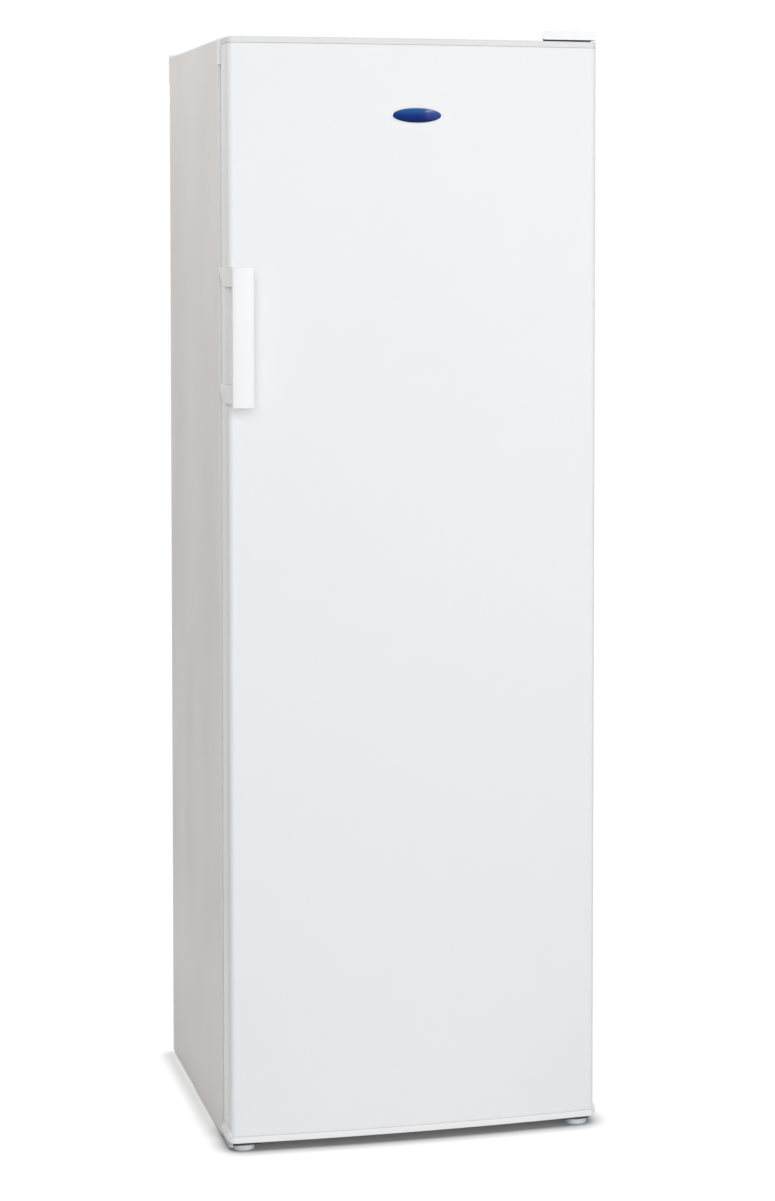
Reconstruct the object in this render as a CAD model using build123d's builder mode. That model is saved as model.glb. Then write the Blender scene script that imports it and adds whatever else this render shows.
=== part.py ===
"""A tall larder refrigerator with one door, modelled in millimetres.

X runs to the right, Y to the back and Z up. The origin lies on the floor, in the middle of the
whole appliance seen from above. The door's hinges are on the right and its handle is on the left.
"""

import os
from math import cos, pi, sin

from build123d import *

# Overall sizes
width = 595.0
cabinet_height = 1730.0
cabinet_depth = 485.0
floor_gap = 5.0

# Door
door_side_inset = 1.5
door_low_step = 9.0
door_top_step = 1.0
door_depth = 58.0
door_bulge = 10.5
door_corner = 9.0
skin_sheet = 0.8
seam_depth = 20.0
seam_gap = 1.5
cap_height = 10.0
cap_wall = 2.5
cap_proud = 2.0
cap_round = 1.5
cap_groove = 0.8
cap_groove_depth = 1.0
cap_flare = 4.5
cap_flare_height = 21.0
cap_flare_edge = 0.6
cap_flare_round = 5.0
cap_flare_steps = 6
hinge_boss = 10.0
hinge_boss_depth = 20.0

# Door lining, with the raised ribs that carry the balconies
door_liner_sheet = 1.2
rib_side_gap = 25.0
rib_width = 22.0
rib_reach = 67.0
rib_low_margin = 86.0
rib_high_margin = 112.0
rib_round = 4.8

# Gasket
gasket_gap = 17.0
gasket_margin = 15.0
gasket_low_margin = 24.0
gasket_width = 18.0
gasket_clearance = 0.3
gasket_foot = 3.3
gasket_neck = 3.3
gasket_neck_inset = 4.0
gasket_magnet = 4.2
gasket_bulge_inset = 1.0

# Hinges
hinge_inset = 12.0
hinge_setback = 22.0
pin_radius = 4.0
pin_clearance = 0.05
pin_reach = 18.0
bush_wall = 3.0
bush_collar = 1.0
collar_gap = 0.3
bracket_sheet = 3.0
bracket_lift = 3.0
bracket_arm_half = 8.0
bracket_plate = 44.0
bracket_plate_depth = 42.0
plate_screw_inset = 12.0
screw_radius = 2.5
screw_head_radius = 5.0
screw_head = 2.5
screw_length = 10.0
hinge_cover_height = 15.0
hinge_cover_width = 88.0
hinge_cover_lift = 1.8
hinge_cover_wall = 2.0
hinge_cover_back = 52.0
hinge_cover_taper = 42.0
hinge_cover_front = 1.0
hinge_cover_gap = 0.5
hinge_cover_seat = 2.0
hinge_cover_corner = 5.0
hinge_cover_round = 3.5

# Cabinet walls
wrapper_sheet = 0.7
wrapper_corner = 3.0
front_return = 31.5
rear_return = 10.0
rail_sheet = 1.2
rail_height = 51.0
rail_depth = 50.0
pan_sheet = 0.7
pan_lift = 22.0
back_recess = 25.0
back_sheet = 0.8
back_insulation = 43.0
liner_sheet = 1.5
side_wall = 44.5
top_wall = 50.0
bottom_wall = 48.0
liner_lip = 15.0
liner_corner = 20.0
liner_side_corner = 15.0
machine_depth = 203.0
machine_height = 210.0
step_wall = 45.0
step_front_wall = 40.0

# Food space
shelf_setback = 110.0
shelf_count = 4
shelf_glass_thickness = 4.0
shelf_side_gap = 3.0
shelf_back_gap = 10.0
shelf_ledge = 10.0
shelf_ledge_height = 10.0
trim_front = 4.0
trim_back = 10.0
trim_lip = 3.0
trim_round = 2.0
trim_clearance = 2.0
crisper_height = 270.0
crisper_side_gap = 23.0
crisper_wall = 2.5
crisper_clearance = 0.3
crisper_step_gap = 4.0
crisper_back_gap = 12.0
crisper_top_gap = 12.0
crisper_grip = 6.0
crisper_grip_height = 15.0
crisper_grip_half = 115.0
crisper_step_round = 1.0
balcony_count = 4
balcony_reach = 112.0
balcony_height = 62.0
bottle_rack_height = 95.0
balcony_wall = 2.5
balcony_corner = 14.0
balcony_ear = 5.0
balcony_ear_height = 10.0
balcony_gap = 0.5
balcony_back_gap = 0.3
balcony_round = 5.0
ear_drop = 20.0
lug_depth = 40.0
lug_height = 12.0
evaporator_side_gap = 33.0
evaporator_sheet = 1.5
evaporator_margin = 90.0

# Controls under the ceiling of the food space
housing_half = 130.0
housing_setback = 5.0
housing_depth = 195.0
housing_height = 45.0
housing_wall = 2.5
housing_corner = 5.0
knob_radius = 18.0
knob_depth = 12.0
knob_offset = -70.0
knob_shaft = 3.0
knob_shaft_length = 18.0
knob_shaft_clearance = 0.05
knob_gap = 0.3
knob_round = 1.6
knob_pointer = 1.0
switch_offset = 105.0
switch_half = 5.0
switch_gap = 0.3
switch_inside = 12.0
switch_round = 1.6
lens_half = 60.0
lens_depth = 70.0
lens_drop = 9.0
lens_wall = 2.0
lens_setback = 60.0
lens_corner = 6.0
lens_round = 3.0
lens_seat = 4.0

# Handle
handle_reach = 40.0
handle_length = 214.0
handle_low = 1165.0
handle_inner = 33.5
handle_proud = 3.5
handle_grip = 12.0
handle_outer_fall = 4.0
handle_inner_fall = 3.0
handle_edge = 2.0
handle_clearance = 0.1
arm_height = 28.0
arm_width = 17.0
arm_back = 60.0
arm_low_back = 31.0
arm_low_inset = 5.0
arm_top_inset = 1.0
arm_slant = 3.0
arm_slope_height = 20.0
arm_edge = 1.4
handle_screw_setback = 45.0
handle_screw_radius = 2.0
handle_screw_head_radius = 4.0
handle_screw_head = 2.0
handle_screw_length = 16.0
handle_screw_rise = 22.0

# Badge
badge_length = 80.0
badge_height = 25.0
badge_thickness = 2.5
badge_below_top = 119.0
badge_edge = 1.0

# Covers at the corners
corner_cap_height = 40.5
corner_cap_width = 12.5
corner_cap_front = 13.0
corner_cap_back = 6.0
corner_cap_proud = 1.0
spacer_reach = 8.0
spacer_height = 47.0
spacer_lift = 4.0
spacer_width = 35.0
shoe_width = 6.5
shoe_front = 7.0
shoe_height = 7.8
shoe_corner = 5.0
shoe_edge = 1.5
shoe_lip = 1.6
shoe_lip_width = 35.0
shoe_lip_depth = 35.0

# Feet and rollers
foot_radius = 17.5
foot_inset = 24.0
foot_clearance = 0.3
foot_chamfer = 0.8
stud_radius = 4.0
stud_clearance = 0.05
roller_radius = 13.0
roller_width = 14.0
roller_inset = 57.0
roller_from_back = 30.0
roller_axle_radius = 3.0
roller_axle_clearance = 0.05
roller_side_gap = 1.0
roller_chamfer = 0.8
roller_ear = 2.0

# Cooling machine
plate_lift = 30.0
plate_sheet = 2.0
plate_lip = 30.0
plate_back_gap = 2.0
plate_front_gap = 6.0
grommet_height = 12.0
grommet_radius = 12.0
stud_spacing_x = 160.0
stud_spacing_y = 100.0
compressor_foot_sheet = 3.0
compressor_radius = 72.0
compressor_height = 133.0
compressor_round = 25.0
compressor_seam = 3.0
terminal_width = 60.0
terminal_height = 70.0
terminal_depth = 38.0
terminal_lift = 24.0
terminal_round = 4.0
tray_length = 180.0
tray_width = 120.0
tray_height = 20.0
tray_wall = 2.0
tray_corner = 8.0
drain_radius = 8.0
drain_bore = 6.0
drain_from_back = 15.0
drain_dip = 11.0
condenser_inset = 67.5
condenser_low_gap = 95.0
condenser_high_gap = 130.0
condenser_runs = 21
condenser_stand_off = 14.0
condenser_tube_radius = 2.5
condenser_bend = 22.0
wire_radius = 0.8
wire_pairs = 24
wire_gap = 0.1
wire_margin = 12.0
clip_size = 16.0
clip_clearance = 0.05
clip_wall = 2.0
riser_gap = 20.0
discharge_height = 140.0
drier_radius = 9.0
drier_length = 95.0
drier_drop = 10.0
drier_round = 4.5
suction_radius = 4.0
suction_height = 135.0
suction_offset = 30.0
suction_gap = 14.0
suction_bend = 10.0
gland_offset = -150.0
gland_radius = 7.0
gland_bore = 3.5
gland_flange = 3.0
gland_flange_thickness = 1.5
gland_length = 10.0

# Depths, from the front of the handle to the back of the spacers
overall_depth = handle_reach + door_depth + gasket_gap + cabinet_depth + spacer_reach
door_y = handle_reach - overall_depth / 2
door_back_y = door_y + door_depth
flange_y = door_back_y + gasket_gap
cabinet_back_y = flange_y + cabinet_depth
back_panel_y = cabinet_back_y - back_recess
back_inner_y = back_panel_y - back_sheet
interior_back_y = back_inner_y - back_insulation - liner_sheet
machine_front_y = cabinet_back_y - machine_depth
step_y = machine_front_y - step_front_wall
shelf_front_y = flange_y + shelf_setback
shelf_back_y = interior_back_y - shelf_back_gap
front_sheet_y = flange_y + wrapper_sheet

# Heights
cabinet_top = floor_gap + cabinet_height
door_bottom = floor_gap + door_low_step
door_top = cabinet_top - door_top_step
skin_bottom = door_bottom + cap_height
skin_top = door_top - cap_height
bracket_top = door_bottom - bracket_lift
bracket_bottom = bracket_top - bracket_sheet
rail_bottom = bracket_top
rail_top = rail_bottom + rail_height
pan_bottom = floor_gap + pan_lift
machine_top = floor_gap + machine_height
interior_floor = pan_bottom + bottom_wall
interior_top = cabinet_top - top_wall
step_z = machine_top + step_wall
crisper_cover_z = interior_floor + crisper_height
shelf_pitch = (interior_top - crisper_cover_z) / (shelf_count + 1)
shelf_levels = [crisper_cover_z + shelf_pitch * (n + 1) for n in range(shelf_count)]

# Half widths
half = width / 2
inner_half = half - wrapper_sheet
door_half = half - door_side_inset
interior_half = half - side_wall
return_half = half - front_return
shelf_half = interior_half - shelf_side_gap
gasket_half = door_half - gasket_margin
rib_outer_half = gasket_half - gasket_width - rib_side_gap
rib_inner_half = rib_outer_half - rib_width
crisper_half = interior_half - crisper_side_gap
evaporator_half = interior_half - evaporator_side_gap
condenser_half = half - condenser_inset

# The hinge line and the feet
hinge_x = door_half - hinge_inset
hinge_y = door_y + hinge_setback
foot_x = door_half - foot_inset
foot_y = hinge_y

os.makedirs("parts", exist_ok=True)


def upright(y):
    """A drawing plane that faces the front, at depth y."""
    return Plane.XZ.offset(-y)


def block(x_span, y_span, z_span, mode=Mode.ADD):
    """A plain block between two x, two y and two z values."""
    spans = (x_span, y_span, z_span)
    with Locations(tuple((low + high) / 2 for low, high in spans)):
        Box(*[high - low for low, high in spans], mode=mode)


def post(x, y, z_span, radius, mode=Mode.ADD):
    """An upright round post."""
    with Locations((x, y, (z_span[0] + z_span[1]) / 2)):
        Cylinder(radius, z_span[1] - z_span[0], mode=mode)


def rod_along_x(x_span, y, z, radius, mode=Mode.ADD):
    """A round rod that lies from left to right."""
    with Locations(Location(((x_span[0] + x_span[1]) / 2, y, z), (0, 90, 0))):
        Cylinder(radius, x_span[1] - x_span[0], mode=mode)


def rod_along_y(x, y_span, z, radius, mode=Mode.ADD):
    """A round rod that lies from front to back."""
    with Locations(Location((x, (y_span[0] + y_span[1]) / 2, z), (90, 0, 0))):
        Cylinder(radius, y_span[1] - y_span[0], mode=mode)


def finish(builder, name):
    """Label a finished piece and write it to its own file."""
    builder.part.label = name
    export_step(builder.part, f"parts/{name}.step")


def door_outline(z, inset, back_y):
    """The door seen from above: a bowed front with rounded corners, set in all round by inset."""
    side = door_half - inset
    front = door_y + inset
    with BuildSketch(Plane.XY.offset(z)) as outline:
        with BuildLine():
            ThreePointArc((-side, front), (0, front - door_bulge), (side, front))
            Polyline((side, front), (side, back_y), (-side, back_y), (-side, front))
        make_face()
        fillet(outline.vertices().group_by(Axis.Y)[0], door_corner - inset)
    return outline.sketch


def arch(y, side, low, high, radius):
    """An upright panel seen from the front, with its two upper corners rounded."""
    with BuildSketch(upright(y)) as panel:
        with Locations((0, (low + high) / 2)):
            Rectangle(2 * side, high - low)
        fillet(panel.vertices().group_by(Axis.Y)[-1], radius)
    return panel.sketch


def food_space(grow, front_y):
    """The space inside the cabinet as a solid, made larger by a wall's thickness."""
    side = interior_half + grow
    low = interior_floor - grow
    with BuildPart() as space:
        with BuildSketch(Plane.YZ.offset(-side)):
            with BuildLine():
                walls = FilletPolyline(
                    (front_y, low),
                    (step_y + grow, low),
                    (step_y + grow, step_z - grow),
                    (interior_back_y + grow, step_z - grow),
                    (interior_back_y + grow, interior_top + grow),
                    (front_y, interior_top + grow),
                    radius=[liner_corner + grow, liner_corner - grow] + [liner_corner + grow] * 2,
                )
                Line(walls @ 1, walls @ 0)
            make_face()
        extrude(amount=2 * side)
        inside_y = front_y + liner_sheet
        rims = space.faces().filter_by(Axis.X).edges()
        rims = rims.filter_by(lambda edge: edge.center().Y > inside_y)
        fillet(rims, liner_side_corner + grow)
    return space.part


def drawer_space(grow, top):
    """The stepped form of the crisper drawer, made smaller by its wall's thickness."""
    side = crisper_half - grow
    low = interior_floor + crisper_clearance + grow
    back = step_y - crisper_step_gap - grow
    ledge = step_z + crisper_clearance + grow
    rear = interior_back_y - crisper_back_gap - grow
    with BuildPart() as space:
        with BuildSketch(Plane.YZ.offset(-side)):
            with BuildLine():
                walls = FilletPolyline(
                    (shelf_front_y + grow, top),
                    (shelf_front_y + grow, low),
                    (back, low),
                    (back, ledge),
                    (rear, ledge),
                    (rear, top),
                    radius=[liner_corner - grow] * 2 + [crisper_step_round + grow, liner_corner - grow],
                )
                Line(walls @ 1, walls @ 0)
            make_face()
        extrude(amount=2 * side)
    return space.part


# Screws that hold the two hinge brackets, the foot bracket and the spacers

top_plate_x = (hinge_x - bracket_plate + bracket_arm_half, hinge_x + bracket_arm_half)
top_plate_y = (flange_y, flange_y + bracket_plate_depth)
top_bracket_z = (cabinet_top, cabinet_top + bracket_sheet)
plate_screws = [
    (x, y)
    for x in (top_plate_x[0] + plate_screw_inset, top_plate_x[1] - plate_screw_inset)
    for y in (top_plate_y[0] + plate_screw_inset, top_plate_y[1] - plate_screw_inset)
]
spacer_x = half - (rear_return + spacer_width) / 2
spacer_z = (cabinet_top + spacer_lift - spacer_height, cabinet_top + spacer_lift)
spacer_screw_z = (spacer_z[0] + cabinet_top - rear_return) / 2
spacer_head_y = cabinet_back_y + spacer_reach - screw_head

with BuildPart() as bracket_screws:
    for screw_x, screw_y in plate_screws:
        post(screw_x, screw_y, (top_bracket_z[1], top_bracket_z[1] + screw_head), screw_head_radius)
        post(screw_x, screw_y, (top_bracket_z[1] - screw_length, top_bracket_z[1]), screw_radius)
        for side in (-1, 1):
            head_z = (bracket_bottom - screw_head, bracket_bottom)
            post(side * screw_x, screw_y, head_z, screw_head_radius)
            shank_z = (bracket_bottom, bracket_bottom + screw_length)
            post(side * screw_x, screw_y, shank_z, screw_radius)
    for side in (-1, 1):
        head_y = (spacer_head_y, spacer_head_y + screw_head)
        rod_along_y(side * spacer_x, head_y, spacer_screw_z, screw_head_radius)
        shank_y = (back_inner_y - screw_length, spacer_head_y)
        rod_along_y(side * spacer_x, shank_y, spacer_screw_z, screw_radius)
finish(bracket_screws, "bracket_screws")


# Hinge brackets and pins

with BuildPart() as hinge_bracket_top:
    block(top_plate_x, top_plate_y, top_bracket_z)
    arm_x = (hinge_x - bracket_arm_half, hinge_x + bracket_arm_half)
    block(arm_x, (hinge_y, flange_y), top_bracket_z)
    post(hinge_x, hinge_y, top_bracket_z, bracket_arm_half)
    post(hinge_x, hinge_y, top_bracket_z, pin_radius, mode=Mode.SUBTRACT)
    add(bracket_screws.part, mode=Mode.SUBTRACT)
finish(hinge_bracket_top, "hinge_bracket_top")


def lower_bracket(side):
    """The plate under the front of the cabinet that reaches forward under the door."""
    x_span = sorted(side * x for x in (top_plate_x[0], half - shoe_width))
    z_span = (bracket_bottom, bracket_top)
    with BuildPart() as bracket:
        block(x_span, (hinge_y, top_plate_y[1]), z_span)
        block(x_span, (door_y + shoe_front, hinge_y), z_span)
        corners = bracket.edges().filter_by(Axis.Z).group_by(Axis.Y)[0]
        fillet(corners, shoe_corner)
        post(side * foot_x, foot_y, z_span, stud_radius + stud_clearance, mode=Mode.SUBTRACT)
        add(bracket_screws.part, mode=Mode.SUBTRACT)
    return bracket


with BuildPart() as hinge_bracket_bottom:
    add(lower_bracket(1).part)
    post(hinge_x, hinge_y, (bracket_bottom, bracket_top), pin_radius, mode=Mode.SUBTRACT)
finish(hinge_bracket_bottom, "hinge_bracket_bottom")

foot_bracket = lower_bracket(-1)
finish(foot_bracket, "foot_bracket")

with BuildPart() as hinge_pins:
    post(hinge_x, hinge_y, (door_top - pin_reach, top_bracket_z[1]), pin_radius)
    post(hinge_x, hinge_y, (bracket_bottom, door_bottom + pin_reach), pin_radius)
finish(hinge_pins, "hinge_pins")

with BuildPart() as hinge_bushes:
    bush_radius = pin_radius + pin_clearance + bush_wall
    post(hinge_x, hinge_y, (door_top - hinge_boss_depth, door_top), bush_radius)
    post(hinge_x, hinge_y, (door_bottom, door_bottom + hinge_boss_depth), bush_radius)
    collar_z = (bracket_top + collar_gap, door_bottom)
    post(hinge_x, hinge_y, collar_z, bush_radius + bush_collar)
    pin_hole = pin_radius + pin_clearance
    post(hinge_x, hinge_y, (bracket_top, door_top), pin_hole, mode=Mode.SUBTRACT)
finish(hinge_bushes, "hinge_bushes")

cover_right = top_plate_x[1] + hinge_cover_gap + hinge_cover_wall
cover_x = (cover_right - hinge_cover_width, cover_right)
cover_y = (door_y + hinge_cover_front, flange_y + hinge_cover_back)
cover_z = (cabinet_top + hinge_cover_lift, cabinet_top + hinge_cover_height)

with BuildSketch(Plane.XY.offset(cabinet_top)) as cover_plan:
    with BuildLine():
        Polyline(
            (cover_x[0], cover_y[0]),
            (cover_x[1], cover_y[0]),
            (cover_x[1], cover_y[1]),
            (cover_x[0] + hinge_cover_taper, cover_y[1]),
            close=True,
        )
    make_face()

with BuildSketch(Plane.XY.offset(cabinet_top)) as cover_hollow:
    add(cover_plan.sketch)
    offset(amount=-hinge_cover_wall)

with BuildPart() as hinge_cover:
    with BuildSketch(upright(cover_y[0])) as cover_face:
        with Locations(((cover_x[0] + cover_x[1]) / 2, (cover_z[0] + cover_z[1]) / 2)):
            Rectangle(hinge_cover_width, cover_z[1] - cover_z[0])
        low_left = cover_face.vertices().group_by(Axis.Y)[0].sort_by(Axis.X)[0]
        fillet(low_left, hinge_cover_corner)
        fillet(cover_face.vertices().group_by(Axis.Y)[-1], hinge_cover_round)
    extrude(amount=cover_y[0] - cover_y[1])
    seat_y = (flange_y - hinge_cover_seat, cover_y[1])
    block(cover_x, seat_y, (cabinet_top, cover_z[0] + hinge_cover_corner))
    extrude(cover_plan.sketch, amount=hinge_cover_height, mode=Mode.INTERSECT)
    hollow_height = hinge_cover_height - hinge_cover_wall
    extrude(cover_hollow.sketch, amount=hollow_height, mode=Mode.SUBTRACT)
finish(hinge_cover, "hinge_cover")


# Cabinet outside

with BuildPart() as cabinet_wrapper:
    extrude(arch(flange_y, half, floor_gap, cabinet_top, wrapper_corner), amount=-cabinet_depth)
    hollow = arch(
        front_sheet_y, inner_half, floor_gap, cabinet_top - wrapper_sheet,
        wrapper_corner - wrapper_sheet,
    )
    extrude(hollow, amount=2 * wrapper_sheet - cabinet_depth, mode=Mode.SUBTRACT)
    opening_z = (floor_gap, cabinet_top - front_return)
    block((-return_half, return_half), (flange_y, front_sheet_y), opening_z, mode=Mode.SUBTRACT)
    notch_z = (floor_gap, rail_bottom)
    block((-inner_half, inner_half), (flange_y, front_sheet_y), notch_z, mode=Mode.SUBTRACT)
    rear_opening = half - rear_return
    rear_y = (cabinet_back_y - wrapper_sheet, cabinet_back_y)
    rear_z = (floor_gap, cabinet_top - rear_return)
    block((-rear_opening, rear_opening), rear_y, rear_z, mode=Mode.SUBTRACT)
    add(bracket_screws.part, mode=Mode.SUBTRACT)
finish(cabinet_wrapper, "cabinet_wrapper")

with BuildPart() as back_panel:
    panel_z = (machine_top, cabinet_top - wrapper_sheet - wrapper_corner)
    block((-inner_half, inner_half), (back_inner_y, back_panel_y), panel_z)
    add(bracket_screws.part, mode=Mode.SUBTRACT)
finish(back_panel, "back_panel")

with BuildPart() as front_rail:
    rail_face_y = (flange_y, flange_y + rail_sheet)
    block((-return_half, return_half), rail_face_y, (rail_bottom, rail_top))
    leg_y = (flange_y + rail_sheet, flange_y + rail_depth)
    block((-inner_half, inner_half), leg_y, (rail_bottom, rail_bottom + rail_sheet))
    add(bracket_screws.part, mode=Mode.SUBTRACT)
finish(front_rail, "front_rail")

with BuildPart() as base_pan:
    with BuildSketch(Plane.YZ.offset(-inner_half)):
        with BuildLine():
            Polyline(
                (flange_y + rail_sheet, pan_bottom),
                (machine_front_y, pan_bottom),
                (machine_front_y, machine_top),
                (back_inner_y, machine_top),
                (back_inner_y, machine_top + pan_sheet),
                (machine_front_y - pan_sheet, machine_top + pan_sheet),
                (machine_front_y - pan_sheet, pan_bottom + pan_sheet),
                (flange_y + rail_sheet, pan_bottom + pan_sheet),
                close=True,
            )
        make_face()
    extrude(amount=2 * inner_half)
    drain_y = interior_back_y - drain_from_back
    post(0, drain_y, (pan_bottom, step_z), drain_radius, mode=Mode.SUBTRACT)
finish(base_pan, "base_pan")


# Cabinet lining, with a ledge under each shelf and a drain in its step

with BuildPart() as inner_liner:
    add(food_space(liner_sheet, front_sheet_y))
    lip_half = interior_half + liner_lip
    lip_y = (front_sheet_y, front_sheet_y + liner_sheet)
    block((-lip_half, lip_half), lip_y, (rail_top, interior_top + liner_lip + liner_sheet))
    add(food_space(0, flange_y), mode=Mode.SUBTRACT)
    ledge_y = (shelf_front_y + trim_back + trim_clearance, shelf_back_y)
    for level in [crisper_cover_z] + shelf_levels:
        for side in (-1, 1):
            reach = (side * (interior_half - shelf_ledge), side * (interior_half + liner_sheet / 2))
            block(sorted(reach), ledge_y, (level - shelf_ledge_height, level))
    post(0, drain_y, (step_z - 2 * liner_sheet, step_z + liner_sheet), drain_bore, mode=Mode.SUBTRACT)
finish(inner_liner, "inner_liner")

with BuildPart() as drain_tube:
    drain_low = step_z - liner_sheet - step_wall - drain_dip
    post(0, drain_y, (drain_low, step_z - liner_sheet), drain_radius)
    post(0, drain_y, (drain_low, step_z), drain_bore, mode=Mode.SUBTRACT)
finish(drain_tube, "drain_tube")

with BuildPart() as evaporator_plate:
    plate_y = (interior_back_y + liner_sheet, interior_back_y + liner_sheet + evaporator_sheet)
    plate_z = (step_z + evaporator_margin, interior_top - evaporator_margin)
    block((-evaporator_half, evaporator_half), plate_y, plate_z)
finish(evaporator_plate, "evaporator_plate")

with BuildPart() as cabinet_foam:
    foam_top = cabinet_top - wrapper_sheet
    shape = arch(front_sheet_y, inner_half, pan_bottom, foam_top, wrapper_corner - wrapper_sheet)
    extrude(shape, amount=front_sheet_y - back_inner_y)
    void_y = (machine_front_y - pan_sheet, back_inner_y)
    void_z = (pan_bottom, machine_top + pan_sheet)
    block((-inner_half, inner_half), void_y, void_z, mode=Mode.SUBTRACT)
    low_z = (pan_bottom, pan_bottom + pan_sheet)
    block((-inner_half, inner_half), (front_sheet_y, machine_front_y), low_z, mode=Mode.SUBTRACT)
    add(food_space(liner_sheet, front_sheet_y), mode=Mode.SUBTRACT)
    for neighbour in (inner_liner, front_rail, evaporator_plate, bracket_screws):
        add(neighbour.part, mode=Mode.SUBTRACT)
    post(0, drain_y, (machine_top, step_z), drain_radius, mode=Mode.SUBTRACT)
finish(cabinet_foam, "cabinet_foam")


# Small covers at the cabinet's corners

with BuildPart() as corner_cap:
    cap_x = (-half - corner_cap_proud, -half)
    cap_z = (cabinet_top - corner_cap_height, cabinet_top)
    block(cap_x, (flange_y - corner_cap_front, flange_y + corner_cap_back), cap_z)
    cap_end_x = -half + corner_cap_width - corner_cap_proud
    block((-half, cap_end_x), (flange_y - corner_cap_front, flange_y), cap_z)
finish(corner_cap, "corner_cap")


def rear_spacer(side, name):
    """A moulded piece in an upper rear corner that keeps the appliance off the wall."""
    outer_x = sorted((side * half, side * (half - spacer_width)))
    inner_x = sorted((side * (half - rear_return), side * (half - spacer_width)))
    with BuildPart() as spacer:
        block(outer_x, (cabinet_back_y, cabinet_back_y + spacer_reach), spacer_z)
        inside_z = (spacer_z[0], cabinet_top - rear_return)
        block(inner_x, (back_panel_y, cabinet_back_y), inside_z)
        add(bracket_screws.part, mode=Mode.SUBTRACT)
    finish(spacer, name)


rear_spacer(-1, "rear_spacer_left")
rear_spacer(1, "rear_spacer_right")

with BuildPart() as corner_shoe:
    shoe_y = (door_y + shoe_front, flange_y)
    shoe_z = (floor_gap, floor_gap + shoe_height)
    block((-half, -half + shoe_width), shoe_y, shoe_z)
    front_edges = corner_shoe.faces().sort_by(Axis.Y)[0].edges()
    fillet(front_edges.filter_by(Axis.Z).sort_by(Axis.X)[0], shoe_corner)
    low_edges = corner_shoe.faces().sort_by(Axis.Z)[0].edges().sort_by(Axis.X)
    fillet(low_edges[:-1].sort_by(Axis.Y)[:-1], shoe_edge)
    lip_z = (bracket_top, bracket_top + shoe_lip)
    block((-half, -half + shoe_lip_width), (flange_y - shoe_lip_depth, flange_y), lip_z)
    add(foot_bracket.part, mode=Mode.SUBTRACT)
finish(corner_shoe, "corner_shoe")


# Front feet: they turn about their studs in the brackets

def front_foot(side, name):
    """A levelling foot with its stud."""
    with BuildPart() as foot:
        post(side * foot_x, foot_y, (0, bracket_bottom - foot_clearance), foot_radius)
        rims = foot.edges().filter_by(GeomType.CIRCLE)
        chamfer(rims, foot_chamfer)
        post(side * foot_x, foot_y, (foot_chamfer, bracket_top), stud_radius)
    finish(foot, name)


front_foot(-1, "foot_left")
front_foot(1, "foot_right")


# Plate that carries the cooling machine and, under it, the rear rollers

roller_x = inner_half - roller_inset
roller_y = cabinet_back_y - roller_from_back
roller_end = roller_width / 2 + roller_side_gap
machine_y = (machine_front_y + cabinet_back_y) / 2
stud_places = [
    (x, machine_y + y)
    for x in (-stud_spacing_x / 2, stud_spacing_x / 2)
    for y in (-stud_spacing_y / 2, stud_spacing_y / 2)
]
plate_top = plate_lift + plate_sheet
plate_back_y = cabinet_back_y - plate_back_gap
gland_z = plate_top + plate_lip / 2

with BuildPart() as compressor_plate:
    plate_y = (machine_front_y + plate_front_gap, plate_back_y)
    block((-inner_half, inner_half), plate_y, (plate_lift, plate_top))
    lip_half_x = half - rear_return
    lip_y = (plate_back_y - plate_sheet, plate_back_y)
    block((-lip_half_x, lip_half_x), lip_y, (plate_lift, plate_top + plate_lip))
    rod_along_y(gland_offset, lip_y, gland_z, gland_radius, mode=Mode.SUBTRACT)
    for x, y in stud_places:
        post(x, y, (plate_lift, plate_top + grommet_height + 2 * compressor_foot_sheet), stud_radius)
    for side in (-1, 1):
        for end in (-1, 1):
            near = side * roller_x + end * roller_end
            ear_x = sorted((near, near + end * roller_ear))
            ear_z = (roller_radius - 2 * roller_axle_radius, plate_lift)
            block(ear_x, (roller_y - roller_radius, roller_y + roller_radius), ear_z)
        axle_x = (side * roller_x - 2 * roller_end, side * roller_x + 2 * roller_end)
        rod_along_x(axle_x, roller_y, roller_radius, roller_axle_radius, mode=Mode.SUBTRACT)
finish(compressor_plate, "compressor_plate")

with BuildPart() as roller_axles:
    axle_reach = roller_end + roller_ear
    for side in (-1, 1):
        axle_x = (side * roller_x - axle_reach, side * roller_x + axle_reach)
        rod_along_x(axle_x, roller_y, roller_radius, roller_axle_radius)
finish(roller_axles, "roller_axles")


def rear_roller(side, name):
    """A roller that turns on its axle."""
    span = (side * roller_x - roller_width / 2, side * roller_x + roller_width / 2)
    bore = roller_axle_radius + roller_axle_clearance
    with BuildPart() as roller:
        rod_along_x(span, roller_y, roller_radius, roller_radius)
        chamfer(roller.edges().filter_by(GeomType.CIRCLE), roller_chamfer)
        rod_along_x(span, roller_y, roller_radius, bore, mode=Mode.SUBTRACT)
    finish(roller, name)


rear_roller(-1, "roller_left")
rear_roller(1, "roller_right")


# Cooling machine

with BuildPart() as compressor_grommets:
    for x, y in stud_places:
        post(x, y, (plate_top, plate_top + grommet_height), grommet_radius)
        post(x, y, (plate_top, plate_top + grommet_height), stud_radius, mode=Mode.SUBTRACT)
finish(compressor_grommets, "compressor_grommets")

foot_plate_z = (plate_top + grommet_height, plate_top + grommet_height + compressor_foot_sheet)
shell_z = (foot_plate_z[1], foot_plate_z[1] + compressor_height)

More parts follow.
